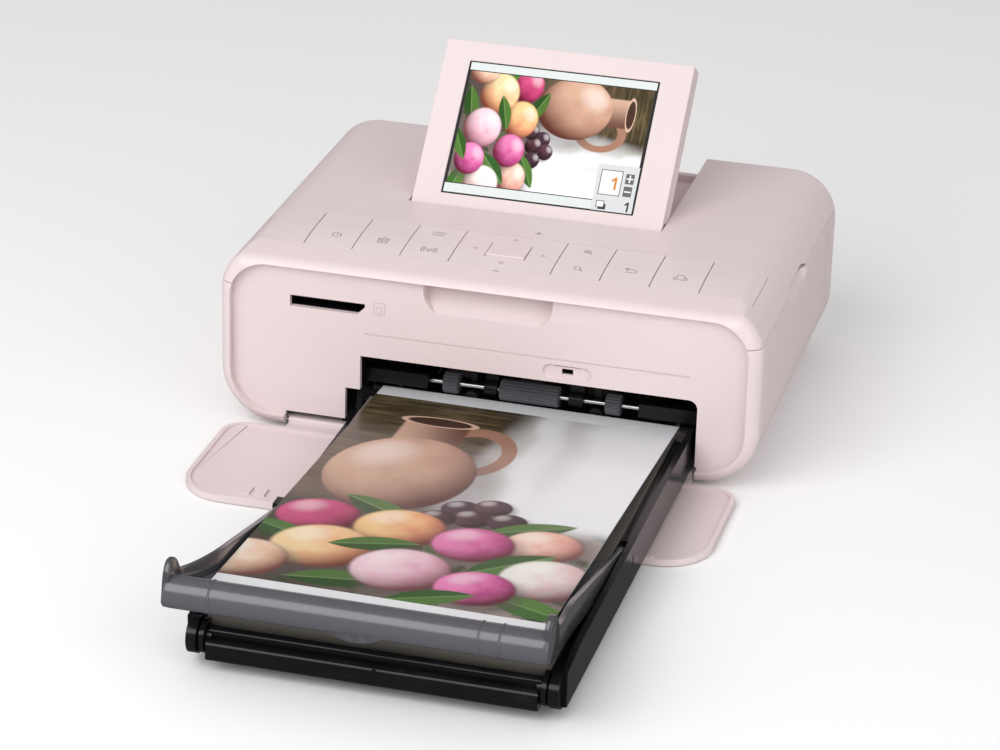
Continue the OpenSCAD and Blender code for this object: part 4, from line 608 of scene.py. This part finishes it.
# A jug and fruit on a table before a wall and a pale curtain
def makeStillLifeGroup():
    group, into, out = newGroup("stillLife", [("Place", "Vector", None)], [("Color", "Color")])
    spot = vectorMaths(group, "MULTIPLY", into["Place"], (1, 1.48, 0))
    x, y = parted(group, spot)
    fog = noiseAt(group, spot, 2.2, 3.0)
    grain = noiseAt(group, vectorMaths(group, "MULTIPLY", spot, (5, 46, 0)), 1.0, 4.0, 0.6)
    wall = blendColours(group, stepBetween(group, y, 0.5, 1.45), (0.15, 0.095, 0.06, 1),
                        (0.05, 0.038, 0.018, 1))
    wall = blendColours(group, stepBetween(group, grain, 0.42, 0.68), wall, (0.14, 0.10, 0.05, 1))
    wall = blendColours(group, stepBetween(group, grain, 0.42, 0.30), wall, (0.018, 0.012, 0.008, 1))
    fold = maths(group, "SINE", maths(group, "ADD", times(group, x, 34.0), times(group, fog, 9.0)))
    cloth = blendColours(group, stepBetween(group, fold, -1.0, 1.0), (0.50, 0.49, 0.47, 1),
                         (0.72, 0.72, 0.735, 1))
    glow = maths(group, "ADD", x, times(group, y, -0.22))
    cloth = blendColours(group, stepBetween(group, glow, 0.28, 0.62), cloth, (0.80, 0.80, 0.83, 1))
    lean = maths(group, "ADD", x, maths(group, "MULTIPLY_ADD", y, -0.16, 0.05))
    scenery = blendColours(group, stepBetween(group, lean, 0.30, 0.42), wall, cloth)
    table = blendColours(group, stepBetween(group, x, 0.1, 1.0), (0.06, 0.045, 0.03, 1),
                         (0.30, 0.25, 0.22, 1))
    table = blendColours(group, stepBetween(group, noiseAt(group, spot, 9.0, 3.0), 0.5, 0.62), table,
                         (0.02, 0.055, 0.012, 1))
    scenery = blendColours(group, stepBetween(group, y, 0.68, 0.56), scenery, table)
    # The jug's neck, lip and handle
    neck = times(group, stepBetween(group, apart(group, x, 0.27), 0.115, 0.10),
                 stepBetween(group, apart(group, y, 1.17), 0.15, 0.14))
    clay = blendColours(group, stepBetween(group, x, 0.15, 0.38), (0.58, 0.37, 0.27, 1),
                        (0.14, 0.06, 0.04, 1))
    grip = vectorMaths(group, "DISTANCE", vectorMaths(group, "MULTIPLY", spot, (1, 0.72, 0)), (0.43, 0.80, 0))
    ringed = stepBetween(group, apart(group, grip, 0.12), 0.028, 0.02)
    scenery = blendColours(group, ringed, scenery, (0.34, 0.18, 0.12, 1))
    scenery = blendColours(group, neck, scenery, clay)
    mouth = vectorMaths(group, "DISTANCE", vectorMaths(group, "MULTIPLY", spot, (1, 3.4, 0)), (0.27, 4.47, 0))
    scenery = blendColours(group, stepBetween(group, mouth, 0.135, 0.125), scenery, (0.62, 0.42, 0.32, 1))
    scenery = blendColours(group, stepBetween(group, mouth, 0.112, 0.10), scenery, (0.06, 0.03, 0.02, 1))
    for number, (middle, size, flesh, blush) in enumerate(fruits):
        if number > 5:
            place, angle, long, wide, tint = leaves[number - 6]
            leaf = placeGroup(group, leafGroup, Place=spot, Middle=(*place, 0), Angle=angle, Long=long,
                              Wide=wide, Tint=(*tint, 1), Below=scenery)
            scenery = leaf.outputs["Color"]
        node = placeGroup(group, fruitGroup, Place=spot, Middle=(*middle, 0), Size=(*size, 1),
                          Softness=0.02 if number == 0 else 0.07, Flesh=(*flesh, 1), Blush=(*blush, 1),
                          Below=scenery)
        scenery = node.outputs["Color"]
    group.links.new(scenery, out["Color"])
    return group


stillLife = makeStillLifeGroup()

sheet = {"middle": 12, "width": 100, "back": 11.4, "front": -160.6, "thick": 0.3, "askew": -0.6,
         "pivot": -80, "pictureBack": 3.4, "pictureFront": -148.8, "cells": (24, 60), "teeth": 90.0}


def makeSheet(s):
    across, along = s["cells"]
    mesh = bmesh.new()
    tiles = mesh.loops.layers.uv.new("flat")
    rows = []
    turn = Matrix.Rotation(math.radians(s["askew"]), 2)
    for layer in (0, -s["thick"]):
        grid = []
        for j in range(along + 1):
            ahead = s["front"] + (s["back"] - s["front"]) * j / along - s["pivot"]
            spots = [turn @ Vector((s["width"] * (i / across - 0.5), ahead)) for i in range(across + 1)]
            grid.append([mesh.verts.new(onSheet(s["middle"] + p.x, s["pivot"] + p.y, layer)) for p in spots])
        rows.append(grid)
    top, under = rows
    for j in range(along):
        for i in range(across):
            mesh.faces.new((top[j][i], top[j][i + 1], top[j + 1][i + 1], top[j + 1][i]))
            mesh.faces.new((under[j][i], under[j + 1][i], under[j + 1][i + 1], under[j][i + 1]))
    rim = [(0, i) for i in range(across)] + [(j, across) for j in range(along)]
    rim += [(along, i) for i in range(across, 0, -1)] + [(j, 0) for j in range(along, 0, -1)]
    for (j0, i0), (j1, i1) in zip(rim, rim[1:] + rim[:1]):
        mesh.faces.new((top[j0][i0], under[j0][i0], under[j1][i1], top[j1][i1]))
    place = {v: (i / across, j / along) for grid in rows for j, line in enumerate(grid)
             for i, v in enumerate(line)}
    for face in mesh.faces:
        for loop in face.loops:
            loop[tiles].uv = place[loop.vert]
    bmesh.ops.recalc_face_normals(mesh, faces=mesh.faces)
    return meshFrom(mesh, "printedSheet")


def onFlat(tree):
    uv = tree.nodes.new("ShaderNodeUVMap")
    uv.uv_map = "flat"
    return parted(tree, uv.outputs[0])


def makePrintFinish(s):
    finish, tree, shader = newFinish("printedPaper")
    x, y = onFlat(tree)
    reach = s["back"] - s["front"]
    low = (s["pictureFront"] - s["front"]) / reach
    high = (s["pictureBack"] - s["front"]) / reach
    spread = rangeBetween(tree, y, low, high)
    spread.clamp = False
    picture = placeGroup(tree, stillLife, Place=joined(tree, x, spread.outputs[0])).outputs[0]
    facing = tree.nodes.new("ShaderNodeNewGeometry").outputs["Normal"]
    up = stepBetween(tree, vectorMaths(tree, "DOT_PRODUCT", facing, (0, 0, 1)), 0.4, 0.6)
    within = times(tree, maths(tree, "GREATER_THAN", y, low),
                   maths(tree, "LESS_THAN", y, high))
    fibre = placeGroup(tree, grainGroup, Grain_Size=0.0004, Drift_Size=0.02)
    paper = blendColours(tree, fibre.outputs["Drift"], (0.80, 0.80, 0.82, 1), (0.76, 0.76, 0.79, 1))
    tree.links.new(blendColours(tree, times(tree, within, up), paper, picture),
                   shader.inputs["Base Color"])
    # Perforations where the white ends tear off
    cut = maths(tree, "MINIMUM", apart(tree, y, low), apart(tree, y, high))
    teeth = maths(tree, "PINGPONG", times(tree, x, s["teeth"]), 0.5)
    teeth = maths(tree, "GREATER_THAN", teeth, 0.2)
    groove = times(tree, stepBetween(tree, cut, 0.0012, 0.0004), teeth)
    height = maths(tree, "SUBTRACT", times(tree, fibre.outputs["Height"], 0.15), groove)
    bumpInto(tree, shader, height, 0.25)
    shader.inputs["Roughness"].default_value = 0.32
    shader.inputs["Coat Weight"].default_value = 0.35
    shader.inputs["Coat Roughness"].default_value = 0.12
    return finish


sheetPiece = addPiece("printedPaper", makeSheet(sheet), makePrintFinish(sheet))
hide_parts("printed_sheet")
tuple(onSheet(12, -68, 0))
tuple(onSheet(12, -92, 0))
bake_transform(sheetPiece)
print("print made")

screen = {"middle": -0.6, "width": 66.1, "low": 5.2, "height": 49.0, "back": 2.6, "front": 4.05,
          "glow": 0.25, "corner": 0.5}


def makeScreenFinish(s):
    finish, tree, shader = newFinish("litScreen")
    u, v = onFlat(tree)
    # The picture lies on its side: its top points right
    turned = joined(tree, maths(tree, "SUBTRACT", 1.0, v), u)
    picture = placeGroup(tree, stillLife, Place=turned).outputs[0]
    inU = maths(tree, "LESS_THAN", apart(tree, u, 0.5), 0.487)
    inV = maths(tree, "LESS_THAN", apart(tree, v, 0.505), 0.425)
    lineU = maths(tree, "LESS_THAN", apart(tree, u, 0.5), 0.494)
    lineV = maths(tree, "LESS_THAN", apart(tree, v, 0.505), 0.432)
    edge = maths(tree, "LESS_THAN", maths(tree, "MAXIMUM", apart(tree, u, 0.5), apart(tree, v, 0.5)), 0.494)
    tone = blendColours(tree, edge, (0.02, 0.022, 0.022, 1), (0.62, 0.66, 0.65, 1))
    tone = blendColours(tree, times(tree, lineU, lineV), tone, (0.03, 0.03, 0.03, 1))
    tone = blendColours(tree, times(tree, inU, inV), tone, picture)
    tree.links.new(tone, shader.inputs["Base Color"])
    tree.links.new(tone, shader.inputs["Emission Color"])
    shader.inputs["Emission Strength"].default_value = s["glow"]
    smear = placeGroup(tree, grainGroup, Grain_Size=0.004, Drift_Size=0.02)
    rough = maths(tree, "MULTIPLY_ADD", smear.outputs["Drift"], 0.08, 0.08)
    tree.links.new(rough, shader.inputs["Roughness"])
    bumpInto(tree, shader, smear.outputs["Height"], 0.02)
    return finish


def makeScreen(s):
    mesh = bmesh.new()
    tiles = mesh.loops.layers.uv.new("flat")
    x0, x1 = s["middle"] - s["width"] / 2, s["middle"] + s["width"] / 2
    y0, y1 = s["low"], s["low"] + s["height"]
    rounded, r = [], s["corner"]
    corners = ((x1 - r, y0 + r, -90), (x1 - r, y1 - r, 0), (x0 + r, y1 - r, 90), (x0 + r, y0 + r, 180))
    for cx, cy, turn in corners:
        rounded += [(cx + r * math.cos(math.radians(turn + k * 22.5)),
                     cy + r * math.sin(math.radians(turn + k * 22.5))) for k in range(5)]
    rings = []
    for depth, inset in ((s["back"], 0), (s["front"] - 0.15, 0), (s["front"], 0.15)):
        rings.append([mesh.verts.new(onScreen(x + (inset if x < s["middle"] else -inset),
                                              y + (inset if y < (y0 + y1) / 2 else -inset), depth))
                      for x, y in rounded])
    for low, high in zip(rings, rings[1:]):
        for k in range(len(low)):
            mesh.faces.new((low[k], low[k - 1], high[k - 1], high[k]))
    mesh.faces.new(rings[-1])
    mesh.faces.new(rings[0][::-1])
    flat = {v: ((x - x0) / s["width"], (y - y0) / s["height"]) for ring in rings
            for v, (x, y) in zip(ring, rounded)}
    for face in mesh.faces:
        for loop in face.loops:
            loop[tiles].uv = flat[loop.vert]
    bmesh.ops.recalc_face_normals(mesh, faces=mesh.faces)
    return meshFrom(mesh, "screenGlass")


screenPiece = addPiece("screenGlass", makeScreen(screen), makeScreenFinish(screen))
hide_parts("lcd_glass")
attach(screenPiece, "display")
print("screen made")


# Feed rollers with ribs along them
feedRollers = {"y": 14, "z": 19.2, "radius": 3.55, "rib": 0.4, "ribs": 20, "bore": 0.9,
               "ends": ((-16.8, -11.6), (2.4, 22.3), (37.9, 43))}


def makeRollers(r):
    mesh = bmesh.new()
    count = r["ribs"] * 6
    for x0, x1 in r["ends"]:
        rings = []
        for x, inset in ((x0, None), (x0, 0.35), (x0 + 0.35, 0), (x1 - 0.35, 0), (x1, 0.35), (x1, None)):
            ring = []
            for k in range(count):
                turn = 2 * math.pi * k / count
                wave = (0, 0.15, 0.75, 1, 0.75, 0.15)[k % 6]
                radius = r["bore"] if inset is None else r["radius"] - inset - r["rib"] * (1 - wave)
                ring.append(mesh.verts.new(at(x, r["y"] + radius * math.cos(turn),
                                              r["z"] + radius * math.sin(turn))))
            rings.append(ring)
        for low, high in zip(rings, rings[1:] + rings[:1]):
            for k in range(count):
                mesh.faces.new((low[k - 1], low[k], high[k], high[k - 1]))
    bmesh.ops.recalc_face_normals(mesh, faces=mesh.faces)
    return meshFrom(mesh, "ribbedRollers")


rollers = addPiece("ribbedRollers", makeRollers(feedRollers), finishes["rollerRubber"])
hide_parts("feed_rollers")
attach(rollers, "feed")
print("rollers made")


# Distances from the cover's hinge: along towards the roll, up from it, across from the middle
cover = {"rollAlong": 91.6, "rollUp": -3.5, "rollRadius": 4.9, "left": -59.2, "right": 54.6,
         "arm": 53.8, "wall": 2.0, "foot": 3.4, "armTop": 3.0, "dip": 1.4, "earTop": 6.2, "drop": 5.0,
         "floorStart": 15.8, "floorUp": 2.0, "floor": 1.6, "pinReach": 56.4, "pinRadius": 1.5,
         "rings": (-45, 34.2, 40.3), "flare": (62, 88), "tabMiddle": -1.8, "tabRadius": 16, "tabUp": 10,
         "tabAngles": (-126, -54)}


def smooth(value, low, high):
    t = min(max((value - low) / (high - low), 0), 1)
    return t * t * (3 - 2 * t)


def loft(mesh, rings):
    made = [[mesh.verts.new(p) for p in ring] for ring in rings]
    for low, high in zip(made, made[1:]):
        for k in range(len(low)):
            mesh.faces.new((low[k - 1], low[k], high[k], high[k - 1]))
    mesh.faces.new(made[0])
    mesh.faces.new(made[-1][::-1])


def lathe(mesh, stations, along, up, place, steps=48):
    turns = [2 * math.pi * k / steps for k in range(steps)]
    loft(mesh, [[place(x, along + r * math.cos(turn), up + r * math.sin(turn)) for turn in turns]
                for x, r in stations])


# One arm: a thin wall that flares to the roll's end and rises there as an ear
def makeArm(mesh, side, place, c):
    reach = abs(c["left"] if side < 0 else c["right"])
    stations = [-c["foot"] * math.cos(math.pi * k / 16) for k in range(8)]
    stations += [2 + 4 * k for k in range(16)] + [66 + k for k in range(18)]
    end = c["rollAlong"] + 3.6
    stations += [84 + (end - 84) * math.sin(math.pi * k / 32) for k in range(17)]
    rings = []
    for s in stations:
        outer = c["arm"] + (reach - c["arm"]) * smooth(s, *c["flare"])
        if s < 0:
            top = math.sqrt(max(c["foot"] ** 2 - s * s, 0.02))
            low = -top
        else:
            top = c["foot"] + (c["armTop"] - c["foot"]) * smooth(s, 0, 6)
            low = -c["foot"] - c["drop"] * min(s / c["rollAlong"], 1) * 0.93
        top = min(top, c["foot"]) + (c["dip"] - c["armTop"]) * smooth(s, 62, 80)
        top += (c["earTop"] - c["dip"]) * smooth(s, c["rollAlong"] - 9, c["rollAlong"] - 1.2) ** 1.4
        if s > c["rollAlong"]:
            ahead = (s - c["rollAlong"]) / (end - c["rollAlong"])
            fall = 1 - math.sqrt(max(1 - ahead ** 2.4, 0))
            top -= fall * 5.5
            drop = math.sqrt(max(c["rollRadius"] ** 2 - (s - c["rollAlong"]) ** 2, 0))
            low = max(low, c["rollUp"] - drop + 0.1)
        inner = outer - c["wall"]
        mid = (outer + inner) / 2
        rim = 0.45
        shape = [(outer - 0.3, low), (outer, low + 0.4), (outer, top - rim),
                 (outer - rim * 0.4, top - rim * 0.3), (mid, top), (inner + rim * 0.4, top - rim * 0.3),
                 (inner, top - rim), (inner, low + 0.4), (inner + 0.3, low)]
        rings.append([place(side * x, s, n) for x, n in shape])
    loft(mesh, rings)


def makeCover(c, armsOnly):
    def place(x, along, up):
        return onCover(x, -along, up)
    mesh = bmesh.new()
    if armsOnly:
        for side in (-1, 1):
            makeArm(mesh, side, place, c)
        # Finger tab with a thick rim that hangs under the roll's front
        arcs = []
        for k in range(25):
            turn = math.radians(c["tabAngles"][0] + (c["tabAngles"][1] - c["tabAngles"][0]) * k / 24)
            arcs.append((c["tabMiddle"] + c["tabRadius"] * math.cos(turn),
                         c["rollUp"] + c["tabUp"] + c["tabRadius"] * math.sin(turn)))
        low = [place(x, c["rollAlong"] + 3.3, n) for x, n in arcs]
        high = [place(x, c["rollAlong"] + 2.3, n) for x, n in arcs]
        loft(mesh, [low, high])
    else:
        x0, x1, r = c["left"] + 0.1, c["right"] - 0.1, c["rollRadius"]
        ends = [(x0, r - 1.2), (x0 + 0.15, r - 0.7), (x0 + 0.5, r - 0.25), (x0 + 1.1, r - 0.05),
                (x0 + 1.8, r)]
        lathe(mesh, ends + [(x, r) for x in range(int(x0) + 4, int(x1) - 3, 6)] +
              [(x0 + x1 - x, q) for x, q in ends[::-1]], c["rollAlong"], c["rollUp"], place)
        for x in c["rings"]:
            lathe(mesh, [(x - 0.4, r - 0.4), (x - 0.3, r + 0.15), (x, r + 0.33), (x + 0.3, r + 0.15),
                         (x + 0.4, r - 0.4)], c["rollAlong"], c["rollUp"], place)
        # Floor between the arms
        rings = []
        for k in range(41):
            s = c["floorStart"] + (c["rollAlong"] - c["floorStart"]) * k / 40
            up = c["floorUp"] + (c["rollUp"] - 1.7 - c["floorUp"]) * k / 40
            flare = smooth(s, *c["flare"])
            left = c["arm"] + (-c["left"] - c["arm"]) * flare - c["wall"] + 0.3
            right = c["arm"] + (c["right"] - c["arm"]) * flare - c["wall"] + 0.3
            rings.append([place(-left, s, up), place(right, s, up), place(right, s, up - c["floor"]),
                          place(-left, s, up - c["floor"])])
        loft(mesh, rings)
        for side in (-1, 1):
            xs = sorted((side * (c["arm"] - 0.5), side * c["pinReach"]))
            lathe(mesh, [(xs[0], c["pinRadius"]), (xs[1], c["pinRadius"])], 0, 0, place, 24)
    bmesh.ops.recalc_face_normals(mesh, faces=mesh.faces)
    for face in mesh.faces:
        face.smooth = len(face.verts) == 4
    return meshFrom(mesh, "cover")


for name, armsOnly, finish in (("coverArms", True, "smokeGlass"), ("coverRoll", False, "smokeCover")):
    piece = addPiece(name, makeCover(cover, armsOnly), finishes[finish])
    crisp = piece.modifiers.new("crisp", "EDGE_SPLIT")
    crisp.split_angle = math.radians(40)
    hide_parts("outer_cover")
    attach(piece, "cover")
print("outer cover made")


# Marks printed on keys, shell and screen
def printFinish(name, colour):
    finish, tree, shader = newFinish(name)
    grain = placeGroup(tree, grainGroup, Grain_Size=0.0002, Drift_Size=0.004)
    tone = blendColours(tree, grain.outputs["Speckle"], (*colour, 1), (*[v * 0.8 for v in colour], 1))
    tree.links.new(tone, shader.inputs["Base Color"])
    shader.inputs["Roughness"].default_value = 0.5
    bumpInto(tree, shader, grain.outputs["Height"], 0.1)
    return finish


def lineMark(points, wide, closed=False):
    shapes = []
    links = list(zip(points, points[1:] + points[:1])) if closed else list(zip(points, points[1:]))
    for (x0, y0), (x1, y1) in links:
        long = math.hypot(x1 - x0, y1 - y0) or 1
        nx, ny = -(y1 - y0) / long * wide / 2, (x1 - x0) / long * wide / 2
        shapes.append([(x0 + nx, y0 + ny), (x0 - nx, y0 - ny), (x1 - nx, y1 - ny), (x1 + nx, y1 + ny)])
    for x, y in points:
        shapes.append(dotMark(x, y, wide / 2, 8)[0])
    return shapes


def dotMark(x, y, radius, steps=16):
    return [[(x + radius * math.cos(2 * math.pi * k / steps), y + radius * math.sin(2 * math.pi * k / steps))
             for k in range(steps)]]


def arcMark(x, y, radius, start, end, wide, steps=14):
    turns = [math.radians(start + (end - start) * k / steps) for k in range(steps + 1)]
    return lineMark([(x + radius * math.cos(a), y + radius * math.sin(a)) for a in turns], wide)


def boxMark(x0, y0, x1, y1, wide):
    return lineMark([(x0, y0), (x1, y0), (x1, y1), (x0, y1)], wide, closed=True)


def plateMark(x0, y0, x1, y1):
    return [[(x0, y0), (x1, y0), (x1, y1), (x0, y1)]]


def surfaceOf(*names):
    points, faces = [], []
    for name in names:
        data = nodes[name].data
        faces += [[len(points) + k for k in face.vertices] for face in data.polygons]
        points += [v.co.copy() for v in data.vertices]
    return BVHTree.FromPolygons(points, faces)


def onTop(tree, lift):
    def place(x, y):
        start = at(x, y, 130)
        hit = tree.ray_cast(start, Vector((0, 0, -1)))[0]
        return (hit or at(x, y, 62)) + Vector((0, 0, lift))
    return place


# Every shape becomes a thin raised film; each is a hair higher than the last, so none flickers
film = {"thick": 0.00002, "gap": 0.00003, "layers": 9, "step": 0.0000012}


def printMarks(name, shapes, place, finish, body, thick=film["thick"]):
    mesh = bmesh.new()
    out = None
    for number, shape in enumerate(shapes):
        verts = [mesh.verts.new(place(x, y)) for x, y in shape]
        face = mesh.faces.new(verts)
        face.normal_update()
        if out is None:
            out = face.normal.copy()
        if face.normal.dot(out) < 0:
            face.normal_flip()
        for v in verts:
            v.co += out * (number % film["layers"]) * film["step"]
    piece = addPiece(name, meshFrom(mesh, name), finish)
    layer = piece.modifiers.new("film", "SOLIDIFY")
    layer.thickness = thick
    layer.offset = -1
    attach(piece, body)


greyPrint = printFinish("greyPrint", (0.24, 0.20, 0.21))
paleMark = printFinish("paleMark", (0.56, 0.44, 0.44))

line = 0.26
power = arcMark(-56.8, 22.2, 1.45, -235, 55, line) + lineMark([(-56.8, 22.1), (-56.8, 24.1)], line)
house = lineMark([(-43.1, 22.9), (-40.9, 24.5), (-38.7, 22.9)], line)
house += boxMark(-42.4, 20.4, -39.4, 22.9, line) + boxMark(-41.6, 21.1, -40.2, 22.2, line * 0.8)
bars = [s for y in (31.2, 32.5, 33.8) for s in lineMark([(-27.0, y), (-22.8, y)], line)]
waves = dotMark(-24.7, 19.9, 0.34) + lineMark([(-24.7, 19.9), (-24.7, 18.3)], line)
for reach in (1.0, 1.8, 2.6):
    waves += arcMark(-24.7, 19.9, reach, -42, 42, line) + arcMark(-24.7, 19.9, reach, 138, 222, line)
lensIn = arcMark(25.1, 33.3, 1.1, 0, 360, line) + lineMark([(25.9, 32.5), (27.1, 31.5)], line)
lensIn += lineMark([(24.6, 33.3), (25.6, 33.3)], line * 0.8)
lensIn += lineMark([(25.1, 32.8), (25.1, 33.8)], line * 0.8)
lensOut = arcMark(25.1, 19.9, 1.1, 0, 360, line) + lineMark([(25.9, 19.1), (27.1, 18.1)], line)
goBack = arcMark(43.0, 22.7, 1.1, -90, 90, line) + lineMark([(43.0, 21.6), (40.6, 21.6)], line)
goBack += lineMark([(43.0, 23.8), (40.2, 23.8)], line)
goBack += lineMark([(41.2, 24.6), (40.1, 23.8), (41.2, 23.0)], line)
printIcon = lineMark([(57.4, 22.4), (56.5, 22.4), (56.5, 20.9), (60.7, 20.9), (60.7, 22.4), (59.8, 22.4)],
                     line)
printIcon += lineMark([(57.4, 21.9), (57.4, 24.2), (59.2, 24.2), (59.8, 23.6), (59.8, 21.9)], line)
keyMarks = {
    "key_power": power, "key_home": house, "key_menu": bars, "key_wireless": waves,
    "key_zoom_in": lensIn, "key_zoom_out": lensOut, "key_back": goBack, "key_print": printIcon}
for key, shapes in keyMarks.items():
    printMarks(key + "Mark", shapes, onTop(surfaceOf(key), film["gap"]), greyPrint, bodyOf[key])
arrows = [[(-11.6, 25.3), (-9.9, 24.3), (-9.9, 26.3)], [(13.4, 25.5), (11.7, 26.5), (11.7, 24.5)],
          [(0.4, 36.6), (-0.7, 35.0), (1.5, 35.0)], [(0.4, 16.0), (1.5, 17.6), (-0.7, 17.6)]]
printMarks("arrowMarks", arrows, onTop(surfaceOf("nav_plate"), film["gap"]), paleMark, "nav")
plusMinus = lineMark([(5.0, 43.3), (7.2, 43.3)], 0.34) + lineMark([(6.1, 42.2), (6.1, 44.4)], 0.34)
plusMinus += lineMark([(-0.7, 11.4), (1.1, 11.4)], 0.36)
printMarks("copiesMarks", plusMinus, onTop(surfaceOf("top_cover"), film["gap"]), greyPrint, "base")

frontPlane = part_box("front_fascia")[0].y - film["gap"]


def onFront(x, z):
    spot = at(x, 0, z)
    return Vector((spot.x, frontPlane, spot.z))


cardIcon = lineMark([(-38.0, 44.7), (-38.0, 48.3), (-37.4, 48.9), (-34.3, 48.9), (-34.3, 44.7)], 0.2,
                    closed=True)
cardIcon += boxMark(-37.2, 45.4, -35.4, 47.3, 0.16)
printMarks("cardMark", cardIcon, onFront, paleMark, "base")

# What the screen shows beside the picture
darkInk = printFinish("darkInk", (0.03, 0.035, 0.035))
greyInk = printFinish("greyInk", (0.13, 0.13, 0.13))
whiteInk = printFinish("whiteInk", (0.86, 0.86, 0.86))
paleInk = printFinish("paleInk", (0.68, 0.70, 0.71))
orangeInk = printFinish("orangeInk", (0.68, 0.25, 0.02))


def onGlass(depth):
    return lambda x, y: onScreen(x - 33.75, y + 5.1, screen["front"] + depth)


def digitOne(x, y, high, wide):
    return lineMark([(x - high * 0.28, y + high * 0.76), (x, y + high), (x, y)], wide)


screenMarks = {
    "menuPanel": (plateMark(51.6, 0.4, 65.6, 17.2), 0.004, paleInk),
    "countBox": (plateMark(53.0, 6.3, 60.2, 15.2), 0.012, whiteInk),
    "countFrame": (boxMark(53.0, 6.3, 60.2, 15.2, 0.28), 0.022, greyInk),
    "countDigit": (digitOne(58.3, 8.6, 3.9, 0.75), 0.024, orangeInk),
    "plusPlate": (plateMark(61.4, 10.9, 64.3, 14.6), 0.012, greyInk),
    "plusSign": (lineMark([(61.9, 12.8), (63.8, 12.8)], 0.5) + lineMark([(62.85, 11.6), (62.85, 14.0)], 0.5),
                 0.022, whiteInk),
    "minusPlate": (plateMark(61.4, 6.3, 64.3, 10.0), 0.012, greyInk),
    "minusSign": (lineMark([(61.9, 8.1), (63.8, 8.1)], 0.5), 0.022, whiteInk),
    "pageShade": (plateMark(53.9, 0.9, 56.5, 2.9), 0.012, darkInk),
    "pageSheet": (plateMark(53.2, 1.7, 55.8, 3.9), 0.022, whiteInk),
    "pageFrame": (boxMark(53.2, 1.7, 55.8, 3.9, 0.24), 0.032, darkInk),
    "totalDigit": (digitOne(63.9, 1.1, 3.1, 0.6), 0.012, darkInk),
}
for name, (shapes, depth, ink) in screenMarks.items():
    printMarks(name, shapes, onGlass(depth), ink, "display", thick=0.000004)
print("marks printed")


floorFinish, floorTree, floorShader = newFinish("paleFloor")
floorGrain = placeGroup(floorTree, grainGroup, Grain_Size=0.003, Drift_Size=0.4)
floorTone = blendColours(floorTree, floorGrain.outputs["Drift"], (*studio["floorColour"], 1),
                         (*[v * 0.985 for v in studio["floorColour"]], 1))
floorTree.links.new(floorTone, floorShader.inputs["Base Color"])
floorShader.inputs["Roughness"].default_value = 0.9
floorShader.inputs["Specular IOR Level"].default_value = 0.1
floorMesh = bmesh.new()
bmesh.ops.create_grid(floorMesh, x_segments=8, y_segments=8, size=6)
floor = addPiece("floor", meshFrom(floorMesh, "floor"), floorFinish)
floor.location.z = oldLow.z - 0.0001
floor.visible_glossy = False

print("done")
